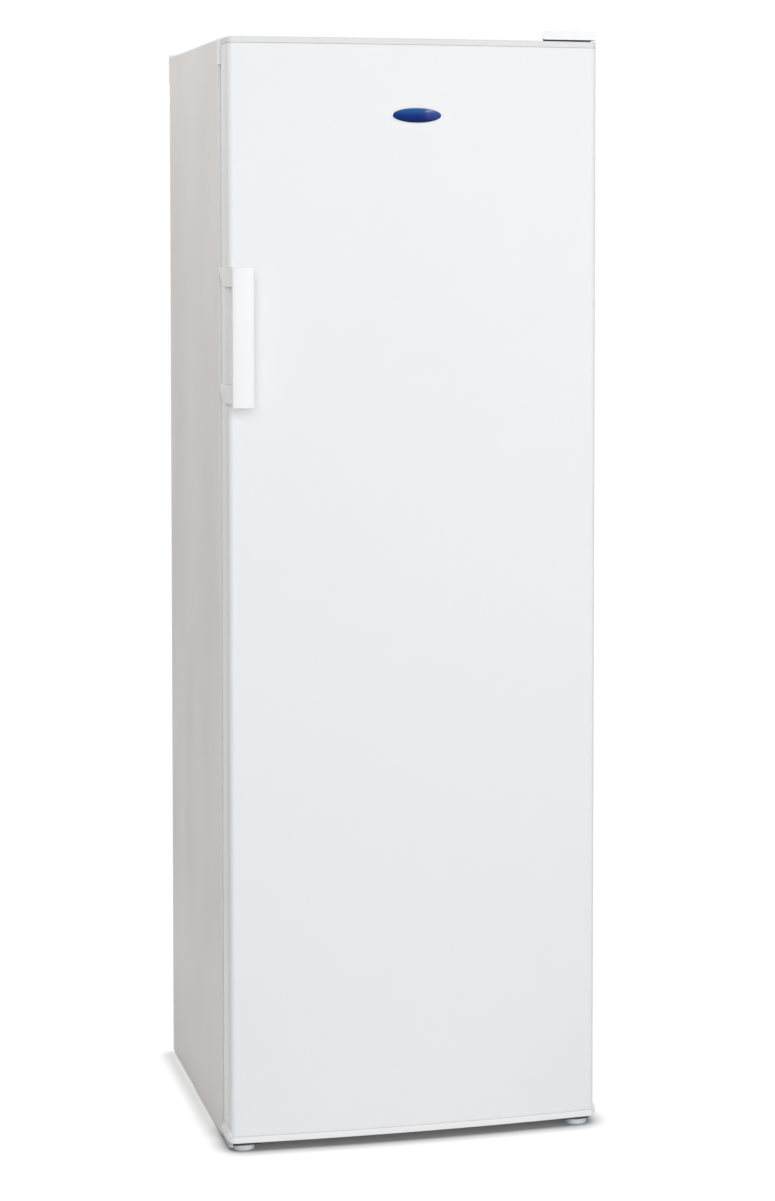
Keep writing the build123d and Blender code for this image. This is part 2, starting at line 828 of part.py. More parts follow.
with BuildPart() as compressor:
    post(0, machine_y, shell_z, compressor_radius)
    fillet(compressor.edges().filter_by(GeomType.CIRCLE), compressor_round)
    seam_middle = (shell_z[0] + shell_z[1]) / 2
    seam_z = (seam_middle - compressor_seam, seam_middle + compressor_seam)
    post(0, machine_y, seam_z, compressor_radius + compressor_seam)
    foot_x_reach = stud_spacing_x / 2 + grommet_radius
    foot_y_reach = stud_spacing_y / 2 + grommet_radius
    plate_x = (-foot_x_reach, foot_x_reach)
    block(plate_x, (machine_y - foot_y_reach, machine_y + foot_y_reach), foot_plate_z)
    for x, y in stud_places:
        post(x, y, foot_plate_z, stud_radius, mode=Mode.SUBTRACT)
finish(compressor, "compressor")

with BuildPart() as terminal_cover:
    cover_reach = (-compressor_radius - terminal_depth, -compressor_radius / 2)
    cover_y = (machine_y - terminal_width / 2, machine_y + terminal_width / 2)
    cover_base = foot_plate_z[1] + terminal_lift
    block(cover_reach, cover_y, (cover_base, cover_base + terminal_height))
    fillet(terminal_cover.faces().sort_by(Axis.X)[0].edges(), terminal_round)
    add(compressor.part, mode=Mode.SUBTRACT)
    keep = terminal_cover.solids().sort_by(Axis.X)[0]
    add(keep, mode=Mode.REPLACE)
finish(terminal_cover, "terminal_cover")

with BuildPart() as drip_tray:
    tray_x = (-tray_length / 2, tray_length / 2)
    tray_y = (machine_y - tray_width / 2, machine_y + tray_width / 2)
    tray_z = (shell_z[1], shell_z[1] + tray_height)
    block(tray_x, tray_y, tray_z)
    fillet(drip_tray.edges().filter_by(Axis.Z), tray_corner)
    offset(amount=-tray_wall, openings=drip_tray.faces().sort_by(Axis.Z)[-1])
finish(drip_tray, "drip_tray")

condenser_y = back_panel_y + condenser_stand_off
condenser_low = machine_top + condenser_low_gap
condenser_high = cabinet_top - condenser_high_gap
run_pitch = (condenser_high - condenser_low) / (condenser_runs - 1)
riser_x = condenser_half + riser_gap
joint_z = machine_top + condenser_bend
drier_z = (machine_top - drier_length + drier_drop, machine_top + drier_drop)

condenser_route = [(riser_x, condenser_y, joint_z), (riser_x, condenser_y, condenser_high)]
for run in range(condenser_runs):
    run_z = condenser_high - run * run_pitch
    turn_x = condenser_half * (-1) ** run
    if run:
        condenser_route.append((turn_x, condenser_y, run_z))
    condenser_route.append((-turn_x, condenser_y, run_z))
drier_x = -turn_x
condenser_route.append((drier_x, condenser_y, drier_z[1]))

with BuildPart() as condenser_tube:
    with BuildLine() as route:
        FilletPolyline(*condenser_route, radius=condenser_bend)
    with BuildSketch(Plane(route.line @ 0, z_dir=route.line % 0)):
        Circle(condenser_tube_radius)
    sweep()
finish(condenser_tube, "condenser_tube")

clip_x = condenser_half - condenser_bend - clip_size / 2
wire_half = clip_x - clip_size
wire_places = [wire_half * (2 * n / (wire_pairs - 1) - 1) for n in range(wire_pairs)]
wire_offset = condenser_tube_radius + wire_radius + wire_gap

with BuildPart() as condenser_wires:
    for wire_x in wire_places:
        for side in (-1, 1):
            wire_z = (condenser_low - wire_margin, condenser_high + wire_margin)
            post(wire_x, condenser_y + side * wire_offset, wire_z, wire_radius)
finish(condenser_wires, "condenser_wires")

with BuildPart() as condenser_clips:
    for clip_z in (condenser_high - run_pitch, condenser_low + run_pitch):
        for side in (-1, 1):
            x_span = (side * clip_x - clip_size / 2, side * clip_x + clip_size / 2)
            y_span = (back_panel_y, condenser_y + condenser_tube_radius + clip_wall)
            block(x_span, y_span, (clip_z - clip_size / 2, clip_z + clip_size / 2))
            groove = condenser_tube_radius + clip_clearance
            rod_along_x(x_span, condenser_y, clip_z, groove, mode=Mode.SUBTRACT)
finish(condenser_clips, "condenser_clips")

with BuildPart() as filter_drier:
    post(drier_x, condenser_y, drier_z, drier_radius)
    fillet(filter_drier.edges().filter_by(GeomType.CIRCLE), drier_round)
finish(filter_drier, "filter_drier")


def tube_solid(corners, radius, bend):
    """A bent tube, as one round bar along straight runs and arcs."""
    with BuildPart() as tube:
        with BuildLine() as path:
            FilletPolyline(*corners, radius=bend)
        with BuildSketch(Plane(path.line @ 0, z_dir=path.line % 0)):
            Circle(radius)
        sweep()
    return tube.part


suction_y = machine_y - compressor_radius - suction_gap
discharge_route = [
    (compressor_radius / 2, machine_y, discharge_height),
    (riser_x, machine_y, discharge_height),
    (riser_x, condenser_y, discharge_height),
    (riser_x, condenser_y, joint_z),
]
suction_route = [
    (suction_offset, suction_y, machine_top),
    (suction_offset, suction_y, suction_height),
    (suction_offset, machine_y, suction_height),
]

with BuildPart() as refrigerant_tubes:
    add(tube_solid(discharge_route, condenser_tube_radius, condenser_bend))
    add(tube_solid(suction_route, suction_radius, suction_bend))
    add(compressor.part, mode=Mode.SUBTRACT)
finish(refrigerant_tubes, "refrigerant_tubes")

with BuildPart() as cord_gland:
    gland_front = plate_back_y - gland_length
    rod_along_y(gland_offset, (gland_front, plate_back_y), gland_z, gland_radius)
    flange_y_span = (plate_back_y, plate_back_y + gland_flange_thickness)
    rod_along_y(gland_offset, flange_y_span, gland_z, gland_radius + gland_flange)
    through = (gland_front, plate_back_y + gland_flange_thickness)
    rod_along_y(gland_offset, through, gland_z, gland_bore, mode=Mode.SUBTRACT)
finish(cord_gland, "cord_gland")


# Controls: a housing under the ceiling with a lamp, a thermostat knob and a door switch

housing_front = flange_y + housing_setback
housing_back = housing_front + housing_depth
housing_low = interior_top - housing_height
housing_middle = (housing_low + interior_top) / 2
lens_y = (housing_front + lens_setback, housing_front + lens_setback + lens_depth)
knob_shaft_bore = knob_shaft + knob_shaft_clearance

with BuildPart() as control_housing:
    block((-housing_half, housing_half), (housing_front, housing_back), (housing_low, interior_top))
    fillet(control_housing.edges().filter_by(Axis.Z).group_by(Axis.Y)[0], housing_corner)
    offset(amount=-housing_wall, openings=control_housing.faces().sort_by(Axis.Z)[-1])
    lamp_window = lens_half - lens_seat
    window_y = (lens_y[0] + lens_seat, lens_y[1] - lens_seat)
    window_z = (housing_low, housing_low + housing_wall)
    block((-lamp_window, lamp_window), window_y, window_z, mode=Mode.SUBTRACT)
    front_wall = (housing_front, housing_front + housing_wall)
    rod_along_y(knob_offset, front_wall, housing_middle, knob_shaft_bore, mode=Mode.SUBTRACT)
    slot = switch_half + switch_gap
    slot_x = (switch_offset - slot, switch_offset + slot)
    slot_z = (housing_middle - slot, housing_middle + slot)
    block(slot_x, front_wall, slot_z, mode=Mode.SUBTRACT)
finish(control_housing, "control_housing")

with BuildPart() as lamp_lens:
    block((-lens_half, lens_half), lens_y, (housing_low - lens_drop, housing_low))
    fillet(lamp_lens.edges().filter_by(Axis.Z), lens_corner)
    fillet(lamp_lens.faces().sort_by(Axis.Z)[0].edges(), lens_round)
    offset(amount=-lens_wall, openings=lamp_lens.faces().sort_by(Axis.Z)[-1])
finish(lamp_lens, "lamp_lens")

with BuildPart() as thermostat_knob:
    knob_y = (housing_front - knob_gap - knob_depth, housing_front - knob_gap)
    rod_along_y(knob_offset, knob_y, housing_middle, knob_radius)
    fillet(thermostat_knob.faces().sort_by(Axis.Y)[0].edges(), knob_round)
    pointer_x = (knob_offset - knob_shaft, knob_offset + knob_shaft)
    pointer_y = (knob_y[0] - knob_pointer, knob_y[1])
    pointer_z = (housing_middle - knob_radius / 2, housing_middle + knob_radius - knob_round)
    block(pointer_x, pointer_y, pointer_z)
    shaft_y = (knob_y[1], knob_y[1] + knob_shaft_length)
    rod_along_y(knob_offset, shaft_y, housing_middle, knob_shaft)
finish(thermostat_knob, "thermostat_knob")

with BuildPart() as door_switch_plunger:
    plunger_y = (door_back_y + switch_gap, housing_front + switch_inside)
    plunger_x = (switch_offset - switch_half, switch_offset + switch_half)
    plunger_z = (housing_middle - switch_half, housing_middle + switch_half)
    block(plunger_x, plunger_y, plunger_z)
    tip = door_switch_plunger.faces().sort_by(Axis.Y)[0].edges()
    fillet(tip, switch_round)
finish(door_switch_plunger, "door_switch_plunger")


# Glass shelves on their ledges, with a moulded trim on each front edge

def glass_shelf(level, name):
    """A loose glass shelf."""
    with BuildPart() as glass:
        glass_z = (level, level + shelf_glass_thickness)
        block((-shelf_half, shelf_half), (shelf_front_y, shelf_back_y), glass_z)
    finish(glass, name)


glass_shelf(crisper_cover_z, "crisper_cover_glass")
for number, level in enumerate(shelf_levels, start=1):
    glass_shelf(level, f"shelf_glass_{number}")

with BuildPart() as shelf_trims:
    for level in [crisper_cover_z] + shelf_levels:
        trim_y = (shelf_front_y - trim_front, shelf_front_y + trim_back)
        trim_z = (level - trim_lip, level + shelf_glass_thickness + trim_lip)
        block((-shelf_half, shelf_half), trim_y, trim_z)
    fronts = shelf_trims.edges().filter_by(Axis.X).group_by(Axis.Y)[0]
    fillet(fronts, trim_round)
    for level in [crisper_cover_z] + shelf_levels:
        glass_z = (level, level + shelf_glass_thickness)
        glass_y = (shelf_front_y, shelf_back_y)
        block((-shelf_half, shelf_half), glass_y, glass_z, mode=Mode.SUBTRACT)
finish(shelf_trims, "shelf_trims")


# Crisper drawer, stepped to pass over the cooling machine's compartment

with BuildPart() as crisper_drawer:
    drawer_top = crisper_cover_z - crisper_top_gap
    add(drawer_space(0, drawer_top))
    grip_y = (shelf_front_y - crisper_grip, shelf_front_y + crisper_wall)
    grip_z = (drawer_top - crisper_grip_height, drawer_top)
    block((-crisper_grip_half, crisper_grip_half), grip_y, grip_z)
    add(drawer_space(crisper_wall, drawer_top), mode=Mode.SUBTRACT)
finish(crisper_drawer, "crisper_drawer")


# Door: screws of the handle first, because every layer is drilled for them

handle_high = handle_low + handle_length
arm_places = [handle_low + arm_low_inset, handle_high - arm_top_inset - arm_height]
handle_outer = door_half + handle_proud

with BuildPart() as handle_screws:
    for arm_low in arm_places:
        screw_z = arm_low + handle_screw_rise
        screw_y = door_y + handle_screw_setback
        head_x = (-handle_outer, -handle_outer + handle_screw_head)
        rod_along_x(head_x, screw_y, screw_z, handle_screw_head_radius)
        shank_x = (head_x[1], head_x[1] + handle_screw_length)
        rod_along_x(shank_x, screw_y, screw_z, handle_screw_radius)
finish(handle_screws, "handle_screws")

seam_y = door_y + seam_depth
rib_low = door_bottom + rib_low_margin
rib_high = door_top - rib_high_margin


def rib_ring(inset):
    """The raised ring on the back of the door, set in by a sheet's thickness."""
    middle = (rib_low + rib_high) / 2
    tall = rib_high - rib_low
    with BuildPart() as ring:
        with BuildSketch(upright(door_back_y - door_liner_sheet)):
            with Locations((0, middle)):
                side = rib_outer_half - inset
                RectangleRounded(2 * side, tall - 2 * inset, rib_width / 2 - inset)
                hole = rib_inner_half + inset
                hole_tall = tall - 2 * rib_width + 2 * inset
                RectangleRounded(2 * hole, hole_tall, rib_width / 2 + inset, mode=Mode.SUBTRACT)
        extrude(amount=-rib_reach - door_liner_sheet + inset)
        fillet(ring.faces().sort_by(Axis.Y)[-1].edges(), rib_round - inset)
    return ring.part


with BuildPart() as door_foam:
    extrude(door_outline(skin_bottom, skin_sheet, seam_y), amount=skin_top - skin_bottom)
    core_half = door_half - door_liner_sheet
    core_y = (seam_y, door_back_y - door_liner_sheet)
    block((-core_half, core_half), core_y, (skin_bottom, skin_top))
    for side in (-1, 1):
        low_z = (door_bottom, door_bottom + hinge_boss_depth)
        post(side * hinge_x, hinge_y, low_z, hinge_boss, mode=Mode.SUBTRACT)
        high_z = (door_top - hinge_boss_depth, door_top)
        post(side * hinge_x, hinge_y, high_z, hinge_boss, mode=Mode.SUBTRACT)
    add(handle_screws.part, mode=Mode.SUBTRACT)
finish(door_foam, "door_foam")

with BuildPart() as door_rib_foam:
    add(rib_ring(door_liner_sheet))
    for side in (-1, 1):
        bar_end = side * (rib_inner_half - rib_width / 2)
        split(bisect_by=Plane.YZ.offset(bar_end), keep=Keep.BOTH)
finish(door_rib_foam, "door_rib_foam")

with BuildPart() as door_skin:
    extrude(door_outline(skin_bottom, 0, seam_y), amount=skin_top - skin_bottom)
    hollow = door_outline(skin_bottom, skin_sheet, seam_y)
    extrude(hollow, amount=skin_top - skin_bottom, mode=Mode.SUBTRACT)
finish(door_skin, "door_skin")

balcony_half = rib_inner_half - balcony_ear - balcony_gap
balcony_pitch = (rib_high - rib_low - 2 * rib_width) / balcony_count
balcony_floor = rib_low + rib_width + 2 * balcony_gap
balcony_levels = [balcony_floor + n * balcony_pitch for n in range(balcony_count)]
balcony_heights = [bottle_rack_height] + [balcony_height] * (balcony_count - 1)
ear_y = (door_back_y + balcony_ear, door_back_y + balcony_ear + lug_depth)

with BuildPart() as door_liner:
    plate_y = (door_back_y - door_liner_sheet, door_back_y)
    block((-door_half, door_half), plate_y, (skin_bottom, skin_top))
    skirt_y = (seam_y + seam_gap, door_back_y)
    block((-door_half, -core_half), skirt_y, (skin_bottom, skin_top))
    block((core_half, door_half), skirt_y, (skin_bottom, skin_top))
    add(rib_ring(0))
    for level, height in zip(balcony_levels, balcony_heights):
        lug_top = level + height - ear_drop
        for side in (-1, 1):
            inner = side * (rib_inner_half - balcony_ear)
            outer = side * (rib_inner_half + door_liner_sheet / 2)
            block(sorted((inner, outer)), ear_y, (lug_top - lug_height, lug_top))
    for filling in (door_foam, door_rib_foam, handle_screws):
        add(filling.part, mode=Mode.SUBTRACT)
finish(door_liner, "door_liner")

with BuildPart() as door_cap_top:
    extrude(door_outline(skin_top, cap_groove_depth, door_back_y), amount=cap_groove)
    extrude(door_outline(skin_top + cap_groove, 0, door_back_y), amount=cap_height - cap_groove)
    fillet(door_cap_top.faces().sort_by(Axis.Z)[-1].edges().sort_by(Axis.Y)[:-1], cap_round)
    hollow = door_outline(skin_top, cap_wall, door_back_y - cap_wall)
    extrude(hollow, amount=cap_height - cap_wall, mode=Mode.SUBTRACT)
    boss_z = (door_top - hinge_boss_depth, door_top)
    for side in (-1, 1):
        post(side * hinge_x, hinge_y, boss_z, hinge_boss)
    post(hinge_x, hinge_y, boss_z, bush_radius, mode=Mode.SUBTRACT)
finish(door_cap_top, "door_cap_top")


def flare_section(z, reach):
    """The lower cap's right end seen from above, at one height."""
    inner = door_half - 2 * door_corner
    with BuildSketch(Plane.XY.offset(z)) as section:
        with BuildLine():
            Polyline(
                (inner, door_y + cap_wall),
                (door_half + reach, door_y + cap_wall),
                (door_half + reach, door_back_y),
                (inner, door_back_y),
                close=True,
            )
        make_face()
        front_corner = section.vertices().group_by(Axis.Y)[0].sort_by(Axis.X)[-1]
        fillet(front_corner, door_corner)
    return section.sketch


flare_top = door_bottom + cap_flare_height
flare_sections = []
for step in range(cap_flare_steps + 1):
    turn = pi / 2 * step / cap_flare_steps
    lift = cap_flare_round * (1 - cos(turn))
    reach = cap_flare - cap_flare_round * (1 - sin(turn))
    flare_sections.append(flare_section(door_bottom + lift, reach))
for step in range(cap_flare_steps + 1):
    share = step / cap_flare_steps
    reach = cap_flare_edge + (cap_flare - cap_flare_edge) * (1 + cos(pi * share)) / 2
    flare_sections.append(flare_section(skin_bottom + share * (flare_top - skin_bottom), reach))

with BuildPart() as cap_end:
    loft(flare_sections, ruled=True)
    door_form = door_outline(skin_bottom, 0, door_back_y)
    extrude(door_form, amount=flare_top - skin_bottom, mode=Mode.SUBTRACT)

with BuildPart() as door_cap_bottom:
    extrude(door_outline(door_bottom, -cap_proud, door_back_y), amount=cap_height)
    for face in (door_cap_bottom.faces().sort_by(Axis.Z)[0], door_cap_bottom.faces().sort_by(Axis.Z)[-1]):
        fillet(face.edges().sort_by(Axis.Y)[:-1], cap_round)
    hollow = door_outline(door_bottom + cap_wall, cap_wall, door_back_y - cap_wall)
    extrude(hollow, amount=cap_height - cap_wall, mode=Mode.SUBTRACT)
    add(cap_end.part)
    mirror(cap_end.part, about=Plane.YZ)
    boss_z = (door_bottom, door_bottom + hinge_boss_depth)
    for side in (-1, 1):
        post(side * hinge_x, hinge_y, boss_z, hinge_boss)
    post(hinge_x, hinge_y, boss_z, bush_radius, mode=Mode.SUBTRACT)
finish(door_cap_bottom, "door_cap_bottom")

gasket_z = (door_bottom + gasket_low_margin, door_top - gasket_margin)
gasket_face_y = flange_y - gasket_clearance
gasket_layers = [
    (door_back_y, door_back_y + gasket_foot, 0.0),
    (door_back_y + gasket_foot, door_back_y + gasket_foot + gasket_neck, gasket_neck_inset),
    (door_back_y + gasket_foot + gasket_neck, gasket_face_y - gasket_magnet, gasket_bulge_inset),
    (gasket_face_y - gasket_magnet, gasket_face_y, 0.0),
]

with BuildPart() as door_gasket:
    gasket_tall = gasket_z[1] - gasket_z[0]
    for layer_front, layer_back, trim in gasket_layers:
        with BuildSketch(upright(layer_front)):
            with Locations((0, (gasket_z[0] + gasket_z[1]) / 2)):
                Rectangle(2 * (gasket_half - trim), gasket_tall - 2 * trim)
                hole = 2 * (gasket_half - gasket_width + trim)
                hole_tall = gasket_tall - 2 * gasket_width + 2 * trim
                Rectangle(hole, hole_tall, mode=Mode.SUBTRACT)
        extrude(amount=layer_front - layer_back)
finish(door_gasket, "door_gasket")

grip_front = door_y - handle_reach
grip_back = grip_front + handle_grip
grip_middle = (grip_front + grip_back) / 2
grip_inner = -door_half + handle_inner

with BuildPart() as handle:
    with BuildSketch(Plane.XY.offset(handle_low)) as grip_section:
        with BuildLine():
            left_front = (-door_half, grip_front + handle_outer_fall)
            right_front = (grip_inner, grip_front + handle_inner_fall)
            crown = ((grip_inner - door_half) / 2, grip_front)
            ThreePointArc(left_front, crown, right_front)
            Polyline(right_front, (grip_inner, grip_back), (-door_half, grip_back), left_front)
        make_face()
        fillet(grip_section.vertices(), handle_edge)
    extrude(amount=handle_length)
    for arm_low in arm_places:
        with BuildSketch(Plane.YZ.offset(-handle_outer)):
            with BuildLine():
                Polyline(
                    (grip_middle, arm_low),
                    (door_y + arm_low_back, arm_low),
                    (door_y + arm_back, arm_low + arm_slope_height),
                    (door_y + arm_back, arm_low + arm_height),
                    (grip_middle, arm_low + arm_height),
                    close=True,
                )
            make_face()
        extrude(amount=arm_width)
    with BuildSketch(Plane.XY.offset(handle_low)):
        with BuildLine():
            Polyline(
                (-handle_outer, door_y - arm_slant),
                (-door_half, grip_back),
                (-door_half, grip_front),
                (-handle_outer, grip_front),
                close=True,
            )
        make_face()
    extrude(amount=handle_length, mode=Mode.SUBTRACT)
    outer_faces = handle.faces().filter_by(Plane.YZ).group_by(Axis.X)[0]
    fillet(outer_faces.edges(), arm_edge)
    door_form = door_outline(handle_low, -handle_clearance, door_back_y + arm_back)
    extrude(door_form, amount=handle_length, mode=Mode.SUBTRACT)
    add(handle_screws.part, mode=Mode.SUBTRACT)
finish(handle, "handle")

with BuildPart() as badge:
    badge_z = door_top - badge_below_top
    badge_front = door_y - door_bulge - badge_thickness
    with BuildSketch(upright(badge_front)):
        with Locations((0, badge_z)):
            Ellipse(badge_length / 2, badge_height / 2)
    extrude(amount=badge_front - door_y)
    fillet(badge.faces().sort_by(Axis.Y)[0].edges(), badge_edge)
    door_form = door_outline(badge_z - badge_height, 0, door_back_y)
    extrude(door_form, amount=2 * badge_height, mode=Mode.SUBTRACT)
finish(badge, "badge")


# Balconies: trays that hang by their ears on the lugs of the door lining, which closes their backs

def door_balcony(level, height, name):
    """A moulded balcony on the inside of the door, open at its top and back."""
    tray_y = (door_back_y + balcony_back_gap, door_back_y + balcony_reach)
    with BuildPart() as balcony:
        block((-balcony_half, balcony_half), tray_y, (level, level + height))
        fillet(balcony.edges().filter_by(Axis.Z).group_by(Axis.Y)[-1], balcony_corner)
        bottom_edges = balcony.faces().sort_by(Axis.Z)[0].edges().sort_by(Axis.Y)
        fillet(bottom_edges[1:], balcony_round)
        open_faces = [balcony.faces().sort_by(Axis.Z)[-1], balcony.faces().sort_by(Axis.Y)[0]]
        offset(amount=-balcony_wall, openings=open_faces)
        lug_top = level + height - ear_drop
        for side in (-1, 1):
            ear_x = (side * (balcony_half - balcony_wall / 2), side * (balcony_half + balcony_ear))
            block(sorted(ear_x), ear_y, (lug_top, lug_top + balcony_ear_height))
    finish(balcony, name)


for number, (level, height) in enumerate(zip(balcony_levels, balcony_heights), start=1):
    door_balcony(level, height, f"door_balcony_{number}")
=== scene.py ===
"""Looks of a larder refrigerator: finishes, badge, gasket, thermostat scale, studio and camera."""

import math

import bpy
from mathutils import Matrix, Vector


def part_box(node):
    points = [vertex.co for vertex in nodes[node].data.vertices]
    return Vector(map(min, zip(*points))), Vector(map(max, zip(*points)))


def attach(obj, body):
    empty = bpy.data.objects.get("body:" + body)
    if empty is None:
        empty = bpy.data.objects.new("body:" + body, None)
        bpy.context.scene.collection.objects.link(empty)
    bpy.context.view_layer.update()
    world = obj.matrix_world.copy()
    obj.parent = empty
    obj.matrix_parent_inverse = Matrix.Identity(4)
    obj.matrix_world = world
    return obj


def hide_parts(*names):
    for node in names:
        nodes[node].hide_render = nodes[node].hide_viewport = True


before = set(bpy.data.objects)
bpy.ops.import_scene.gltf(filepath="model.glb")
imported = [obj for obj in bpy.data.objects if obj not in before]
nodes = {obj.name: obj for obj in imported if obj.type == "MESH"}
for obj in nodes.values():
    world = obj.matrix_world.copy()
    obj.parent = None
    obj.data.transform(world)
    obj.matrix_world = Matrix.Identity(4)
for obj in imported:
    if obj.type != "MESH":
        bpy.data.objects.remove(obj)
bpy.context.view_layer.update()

# Sockets of the colour mix node, which has several of the same name
MIX_FACTOR, MIX_FIRST, MIX_SECOND, MIX_RESULT = 0, 6, 7, 2
MM = 0.001


def add_node(tree, kind, inputs=None, **settings):
    """A node with its settings, whose inputs are numbers, colours or links from other nodes."""
    made = tree.nodes.new(kind)
    for name, value in settings.items():
        setattr(made, name, value)
    for name, value in (inputs or {}).items():
        if isinstance(value, bpy.types.NodeSocket):
            tree.links.new(value, made.inputs[name])
        else:
            made.inputs[name].default_value = value
    return made


def mix_colours(tree, factor, first, second, blend="MIX"):
    """The colour output of a mix of two colours."""
    inputs = {MIX_FACTOR: factor, MIX_FIRST: first, MIX_SECOND: second}
    mixer = add_node(tree, "ShaderNodeMix", inputs, data_type="RGBA", blend_type=blend)
    return mixer.outputs[MIX_RESULT]


def spread(tree, value, low, high, new_low, new_high):
    """A value moved from one range to another, and held inside the new one."""
    inputs = {
        "Value": value,
        "From Min": low,
        "From Max": high,
        "To Min": new_low,
        "To Max": new_high,
    }
    return add_node(tree, "ShaderNodeMapRange", inputs).outputs["Result"]


def surface_place(tree, stretch=(1.0, 1.0, 1.0)):
    """The point on the object's own surface, stretched where a pattern runs in one direction."""
    place = add_node(tree, "ShaderNodeTexCoord").outputs["Object"]
    mapping = add_node(tree, "ShaderNodeMapping", {"Vector": place, "Scale": stretch})
    return mapping.outputs["Vector"]


def noise(tree, place, scale, detail=2.0, roughness=0.5):
    """The grey value of a noise."""
    inputs = {"Vector": place, "Scale": scale, "Detail": detail, "Roughness": roughness}
    return add_node(tree, "ShaderNodeTexNoise", inputs).outputs["Fac"]


def multiply(tree, first, second):
    """The product of two values."""
    return add_node(tree, "ShaderNodeMath", {0: first, 1: second}, operation="MULTIPLY").outputs[0]


def largest(tree, first, second):
    """The larger of two values."""
    return add_node(tree, "ShaderNodeMath", {0: first, 1: second}, operation="MAXIMUM").outputs[0]


def darkened(tree, colour, depth, share, low, high):
    """A colour that loses the given depth where the share is low, and keeps its tone where it is high."""
    darkest = add_node(tree, "ShaderNodeMath", {0: 1.0, 1: depth}, operation="SUBTRACT").outputs[0]
    level = spread(tree, share, low, high, darkest, 1.0)
    grey = add_node(tree, "ShaderNodeCombineColor", {"Red": level, "Green": level, "Blue": level})
    return mix_colours(tree, 1.0, colour, grey.outputs[0], "MULTIPLY")


def new_group(name, inputs, outputs):
    """A shader node group with named sockets, with its input node and its output node."""
    group = bpy.data.node_groups.new(name, "ShaderNodeTree")
    kinds = {"colour": "NodeSocketColor", "value": "NodeSocketFloat"}
    for label, kind, value in inputs:
        socket = group.interface.new_socket(label, in_out="INPUT", socket_type=kinds[kind])
        socket.default_value = value
    for label, kind in outputs:
        group.interface.new_socket(label, in_out="OUTPUT", socket_type=kinds[kind])
    return group, add_node(group, "NodeGroupInput").outputs, add_node(group, "NodeGroupOutput")


# Effects that several finishes share


def build_uneven_tone():
    """Colour that drifts a little in large soft patches."""
    group, given, result = new_group(
        "uneven_tone",
        [("Colour", "colour", (0.8, 0.8, 0.8, 1.0)), ("Patches", "value", 3.0), ("Depth", "value", 0.03)],
        [("Colour", "colour")],
    )
    patches = noise(group, surface_place(group), given["Patches"], 3.0)
    tinted = darkened(group, given["Colour"], given["Depth"], patches, 0.3, 0.7)
    group.links.new(tinted, result.inputs["Colour"])
    return group


def build_wiped_gloss():
    """Roughness with the soft marks of hands and cloths."""
    group, given, result = new_group(
        "wiped_gloss",
        [("Roughness", "value", 0.4), ("Marks", "value", 9.0), ("Variation", "value", 0.05)],
        [("Roughness", "value")],
    )
    marks = noise(group, surface_place(group, (1.0, 1.0, 0.45)), given["Marks"], 6.0, 0.62)
    swing = spread(group, marks, 0.35, 0.65, -1.0, 1.0)
    change = multiply(group, swing, given["Variation"])
    total = add_node(group, "ShaderNodeMath", {0: given["Roughness"], 1: change}, use_clamp=True)
    group.links.new(total.outputs[0], result.inputs["Roughness"])
    return group


def build_paint_ripple():
    """The fine waves of sprayed and baked paint."""
    group, given, result = new_group("paint_ripple", [("Waves", "value", 300.0)], [("Height", "value")])
    fine = noise(group, surface_place(group), given["Waves"], 1.5)
    group.links.new(fine, result.inputs["Height"])
    return group


def build_moulded_grain():
    """The fine spark-eroded grain of a plastics mould."""
    group, given, result = new_group("moulded_grain", [("Cells", "value", 1500.0)], [("Height", "value")])
    place = surface_place(group)
    cells = add_node(group, "ShaderNodeTexVoronoi", {"Vector": place, "Scale": given["Cells"]})
    flats = spread(group, cells.outputs["Distance"], 0.1, 0.7, 0.0, 1.0)
    group.links.new(flats, result.inputs["Height"])
    return group


def build_rolled_lines():
    """Fine lines that rolling leaves along a metal sheet."""
    group, given, result = new_group("rolled_lines", [("Lines", "value", 500.0)], [("Height", "value")])
    place = surface_place(group, (0.03, 1.0, 1.0))
    group.links.new(noise(group, place, given["Lines"], 2.0), result.inputs["Height"])
    return group


def build_joint_shade():
    """Painted shade: colour that darkens in the narrow joints between pieces, where little light reaches.
    """
    group, given, result = new_group(
        "joint_shade",
        [("Colour", "colour", (0.8, 0.8, 0.8, 1.0)), ("Reach", "value", 0.004), ("Depth", "value", 0.3)],
        [("Colour", "colour")],
    )
    nearby = add_node(group, "ShaderNodeAmbientOcclusion", {"Distance": given["Reach"]}, samples=8)
    tinted = darkened(group, given["Colour"], given["Depth"], nearby.outputs["AO"], 0.35, 0.9)
    group.links.new(tinted, result.inputs["Colour"])
    return group


def build_settled_dust():
    """Thin dust on faces that look upwards, which also dulls them."""
    group, given, result = new_group(
        "settled_dust",
        [
            ("Colour", "colour", (0.1, 0.1, 0.1, 1.0)),
            ("Roughness", "value", 0.5),
            ("Dust Colour", "colour", (0.42, 0.39, 0.35, 1.0)),
            ("Amount", "value", 0.3),
        ],
        [("Colour", "colour"), ("Roughness", "value")],
    )
    normal = add_node(group, "ShaderNodeNewGeometry").outputs["Normal"]
    upward = add_node(group, "ShaderNodeSeparateXYZ", {"Vector": normal}).outputs["Z"]
    facing = spread(group, upward, 0.3, 0.95, 0.0, 1.0)
    patches = spread(group, noise(group, surface_place(group), 30.0, 5.0), 0.35, 0.65, 0.35, 1.0)
    cover = multiply(group, multiply(group, facing, patches), given["Amount"])
    coloured = mix_colours(group, cover, given["Colour"], given["Dust Colour"])
    group.links.new(coloured, result.inputs["Colour"])
    dulled = add_node(group, "ShaderNodeMath", {0: cover, 1: 0.35, 2: given["Roughness"]},
                      operation="MULTIPLY_ADD", use_clamp=True)
    group.links.new(dulled.outputs[0], result.inputs["Roughness"])
    return group


uneven_tone = build_uneven_tone()
wiped_gloss = build_wiped_gloss()
paint_ripple = build_paint_ripple()
moulded_grain = build_moulded_grain()
rolled_lines = build_rolled_lines()
joint_shade = build_joint_shade()
settled_dust = build_settled_dust()


